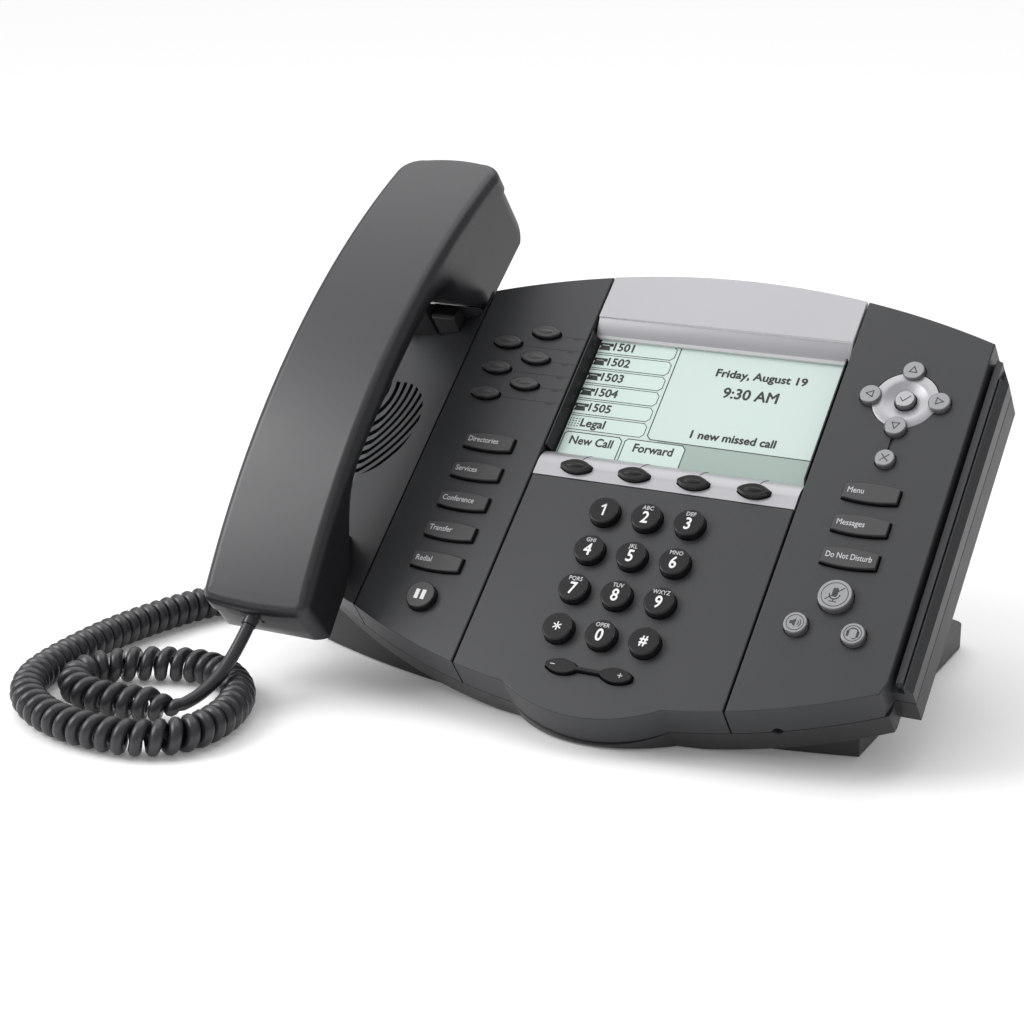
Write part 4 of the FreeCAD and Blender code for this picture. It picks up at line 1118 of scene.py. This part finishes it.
# ---- the body -------------------------------------------------------------------------------------------
@dataclass
class Body:
    """Panels, housing and stand: the CAD shapes with rounded edges and their finishes."""

    seam: float = -56.2
    wall: tuple[float, float] = (53.4, 47.0)
    notch: tuple[float, float] = (-54.3, -2.9)
    rest_u: float = 115.6
    rest_n: float = -6.8
    rest_slope: float = 1.57
    rest_gap: float = 0.7
    rest_end: float = 110.4
    rest_floor: float = -10.0
    rest_top: float = 11.0

    def build(self) -> None:
        """Dress the body's nodes."""
        for node in ("left_panel", "right_panel", "cradle_panel"):
            soften(node, GRAPHITE, BODY, 0.0003)
        self.centre()
        self.receiver_rest()
        soften("lower_housing", GRAPHITE_DARK, BODY, 0.0004)
        soften("base_stand", GRAPHITE_DARK, BODY, 0.0008, 3)
        # The hood's lip and side faces take the lighter silver copy: painted highlight.
        soften("display_hood", SILVER, BODY, 0.0003, sides=SILVER_HIGHLIGHT)
        soften("softkey_bar", SILVER, BODY, 0.0003)
        soften("hook_plunger", GRAPHITE_DARK, "hook", 0.0005)
        for node, finish in (("display_module", DARK_FRAME_AND_SHADE), ("electronics", BOARD), ("housing_screws", STEEL),
                             ("rubber_feet", RUBBER), ("handset_plug", PLUG), ("base_plug", PLUG)):
            for place in bpy.data.objects[node].material_slots:
                place.link = "OBJECT"
                place.material = finish.material()

    def rest_height(self, u: float) -> float:
        """Height of the wedge under the receiver, in mm, at a place up the slope.

        Args:
            u: The place, in mm.

        Returns:
            The height.
        """
        return self.rest_n + self.rest_slope * (self.rest_u - u) - self.rest_gap

    def receiver_rest(self) -> None:
        """Dark wedge that the receiver's lower end leans over, round the back of the hook."""
        wedges = (("receiver_rest_left", -152.0, -131.5, 101.0), ("receiver_rest", -131.5, -110.0, 108.0))
        for name, x0, x1, u0 in wedges:
            top = min(self.rest_height(u0), self.rest_top)
            outline = [(u0, self.rest_floor), (self.rest_end, self.rest_floor),
                       (self.rest_end, self.rest_height(self.rest_end)), (u0, top)]
            side = plate(outline, x1 - x0)
            turn = Matrix(((0.0, 0.0, 1.0, (x0 + x1) / 2 * MM), (1.0, 0.0, 0.0, 0.0), (0.0, 1.0, 0.0, 0.0),
                           (0.0, 0.0, 0.0, 1.0)))
            bmesh.ops.transform(side, matrix=FACE @ turn, verts=side.verts)
            bmesh.ops.bevel(side, geom=side.edges[:], offset=0.0006, offset_type="OFFSET", segments=2,
                            profile=0.5, affect="EDGES", clamp_overlap=True, material=-1)
            piece_from(side, name, GRAPHITE_DARK, BODY)

    def centre(self) -> None:
        """Centre panel, with its walls down to the display near black: painted shade."""
        made = piece_from(merged_copy("center_panel"), "center_panel_skin", GRAPHITE, BODY,
                          50.0)
        made.data.materials.append(DARK_FRAME_AND_SHADE.material())
        to_face = FACE.inverted()
        # Walls of the display recess take the near-black finish: painted shade.
        for side in made.data.polygons:
            place = to_face @ side.center
            side.material_index = int(abs(place.x) > self.wall[0] * MM and place.y > self.wall[1] * MM)
        round_edges(made, "center_panel", 0.0003, 2, 28.0)

    def lines(self) -> None:
        """Fine lines from the line keys and the soft keys to the display."""
        marks = []
        notches = []
        for x, u in Keys.line_places:
            groove = u - 0.45
            # The grooves are drawn as thin near-black strips on the face: painted shade.
            marks.append(bar(x + 7.9, groove, self.seam - 0.6, groove, 0.28, 0.1))
            marks.append(bar(self.seam - 6.6, groove - 0.75, self.seam - 4.2, groove - 0.75, 0.6, 0.1))
            notches.append(set_on(bar(-0.6, 0.0, 0.6, 0.0, 0.3, 0.3), self.notch[0], groove, self.notch[1]))
        piece_from(set_on(join(marks), 0.0, 0.0, 0.0), "line_key_lines", DARK_FRAME_AND_SHADE, BODY, 60.0)
        piece_from(join(notches), "display_wall_notches", KEY_GREY, BODY, 60.0)
        path = [(0.4, 41.3, -0.62), (1.0, 43.0, -1.2), (1.5, 44.4, -2.1), (2.0, 45.6, -3.2), (2.4, 46.5, -4.4)]
        ticks = join([rod([(x + dx, u, n) for dx, u, n in path], 0.17) for x in Keys.soft_places])
        piece_from(set_on(ticks, 0.0, 0.0, 0.0), "softkey_ticks", INK_GREY, BODY, 60.0)


# ---- studio ---------------------------------------------------------------------------------------------
@dataclass
class Studio:
    """Pale floor, soft lights and the camera."""

    camera_place: tuple[float, float, float] = (0.3533, -0.7814, 0.3277)
    azimuth: float = 27.3
    elevation: float = 16.9
    lens: float = 78.15

    def floor(self) -> None:
        """Wide pale floor."""
        work = bmesh.new()
        bmesh.ops.create_grid(work, x_segments=1, y_segments=1, size=6.0)
        mesh = bpy.data.meshes.new("floor")
        work.to_mesh(mesh)
        work.free()
        mesh.materials.append(FLOOR.material())
        made = bpy.data.objects.new("floor", mesh)
        bpy.context.scene.collection.objects.link(made)

    def lamp(self, name: str, place: tuple[float, float, float], aim: tuple[float, float, float], size: float,
             power: float) -> None:
        """Square soft light.

        Args:
            name: Its name.
            place: Where it stands.
            aim: What it points at.
            size: Its side.
            power: Its power, in watts.
        """
        data = bpy.data.lights.new(name, "AREA")
        data.shape = "SQUARE"
        data.size = size
        data.energy = power
        made = bpy.data.objects.new(name, data)
        made.location = place
        made.rotation_euler = (Vector(aim) - Vector(place)).to_track_quat("-Z", "Y").to_euler()
        bpy.context.scene.collection.objects.link(made)

    def build(self) -> None:
        """Set up the whole studio."""
        self.floor()
        world = bpy.data.worlds.new("studio")
        world.use_nodes = True
        world.node_tree.nodes["Background"].inputs[0].default_value = (1.0, 1.0, 1.0, 1.0)
        world.node_tree.nodes["Background"].inputs[1].default_value = 0.5
        bpy.context.scene.world = world
        bpy.context.scene.view_settings.view_transform = "Standard"
        self.lamp("key light", (-1.15, -0.62, 0.95), (-0.05, 0.0, 0.05), 0.9, 16.0)
        sun = bpy.data.lights.new("soft sky", "SUN")
        sun.energy = 1.5
        sun.angle = math.radians(70.0)
        sky = bpy.data.objects.new("soft sky", sun)
        sky.rotation_euler = (math.radians(-22.0), math.radians(-12.0), 0.0)
        bpy.context.scene.collection.objects.link(sky)
        data = bpy.data.cameras.new("camera")
        data.lens = self.lens
        data.sensor_width = 36.0
        data.clip_end = 50.0
        camera = bpy.data.objects.new("camera", data)
        camera.location = self.camera_place
        camera.rotation_euler = (math.radians(90.0 - self.elevation), 0.0, math.radians(self.azimuth))
        bpy.context.scene.collection.objects.link(camera)
        bpy.context.scene.camera = camera


def main() -> None:
    """Build every sub-assembly in order."""
    logging.basicConfig(level=logging.INFO, format="%(message)s")
    builders: list[tuple[str, Callable[[], object]]] = [
        ("studio", Studio().build), ("cord", HandsetCord().build), ("body", Body().build),
        ("lines", Body().lines), ("handset", HandsetShells().build), ("keys", Keys().build),
        ("navigation", Navigation().build), ("audio keys", AudioKeys().build), ("display", Display().build)]
    for name, build in builders:
        build()
        LOG.info("built: %s", name)


if __name__ == "__main__":
    main()
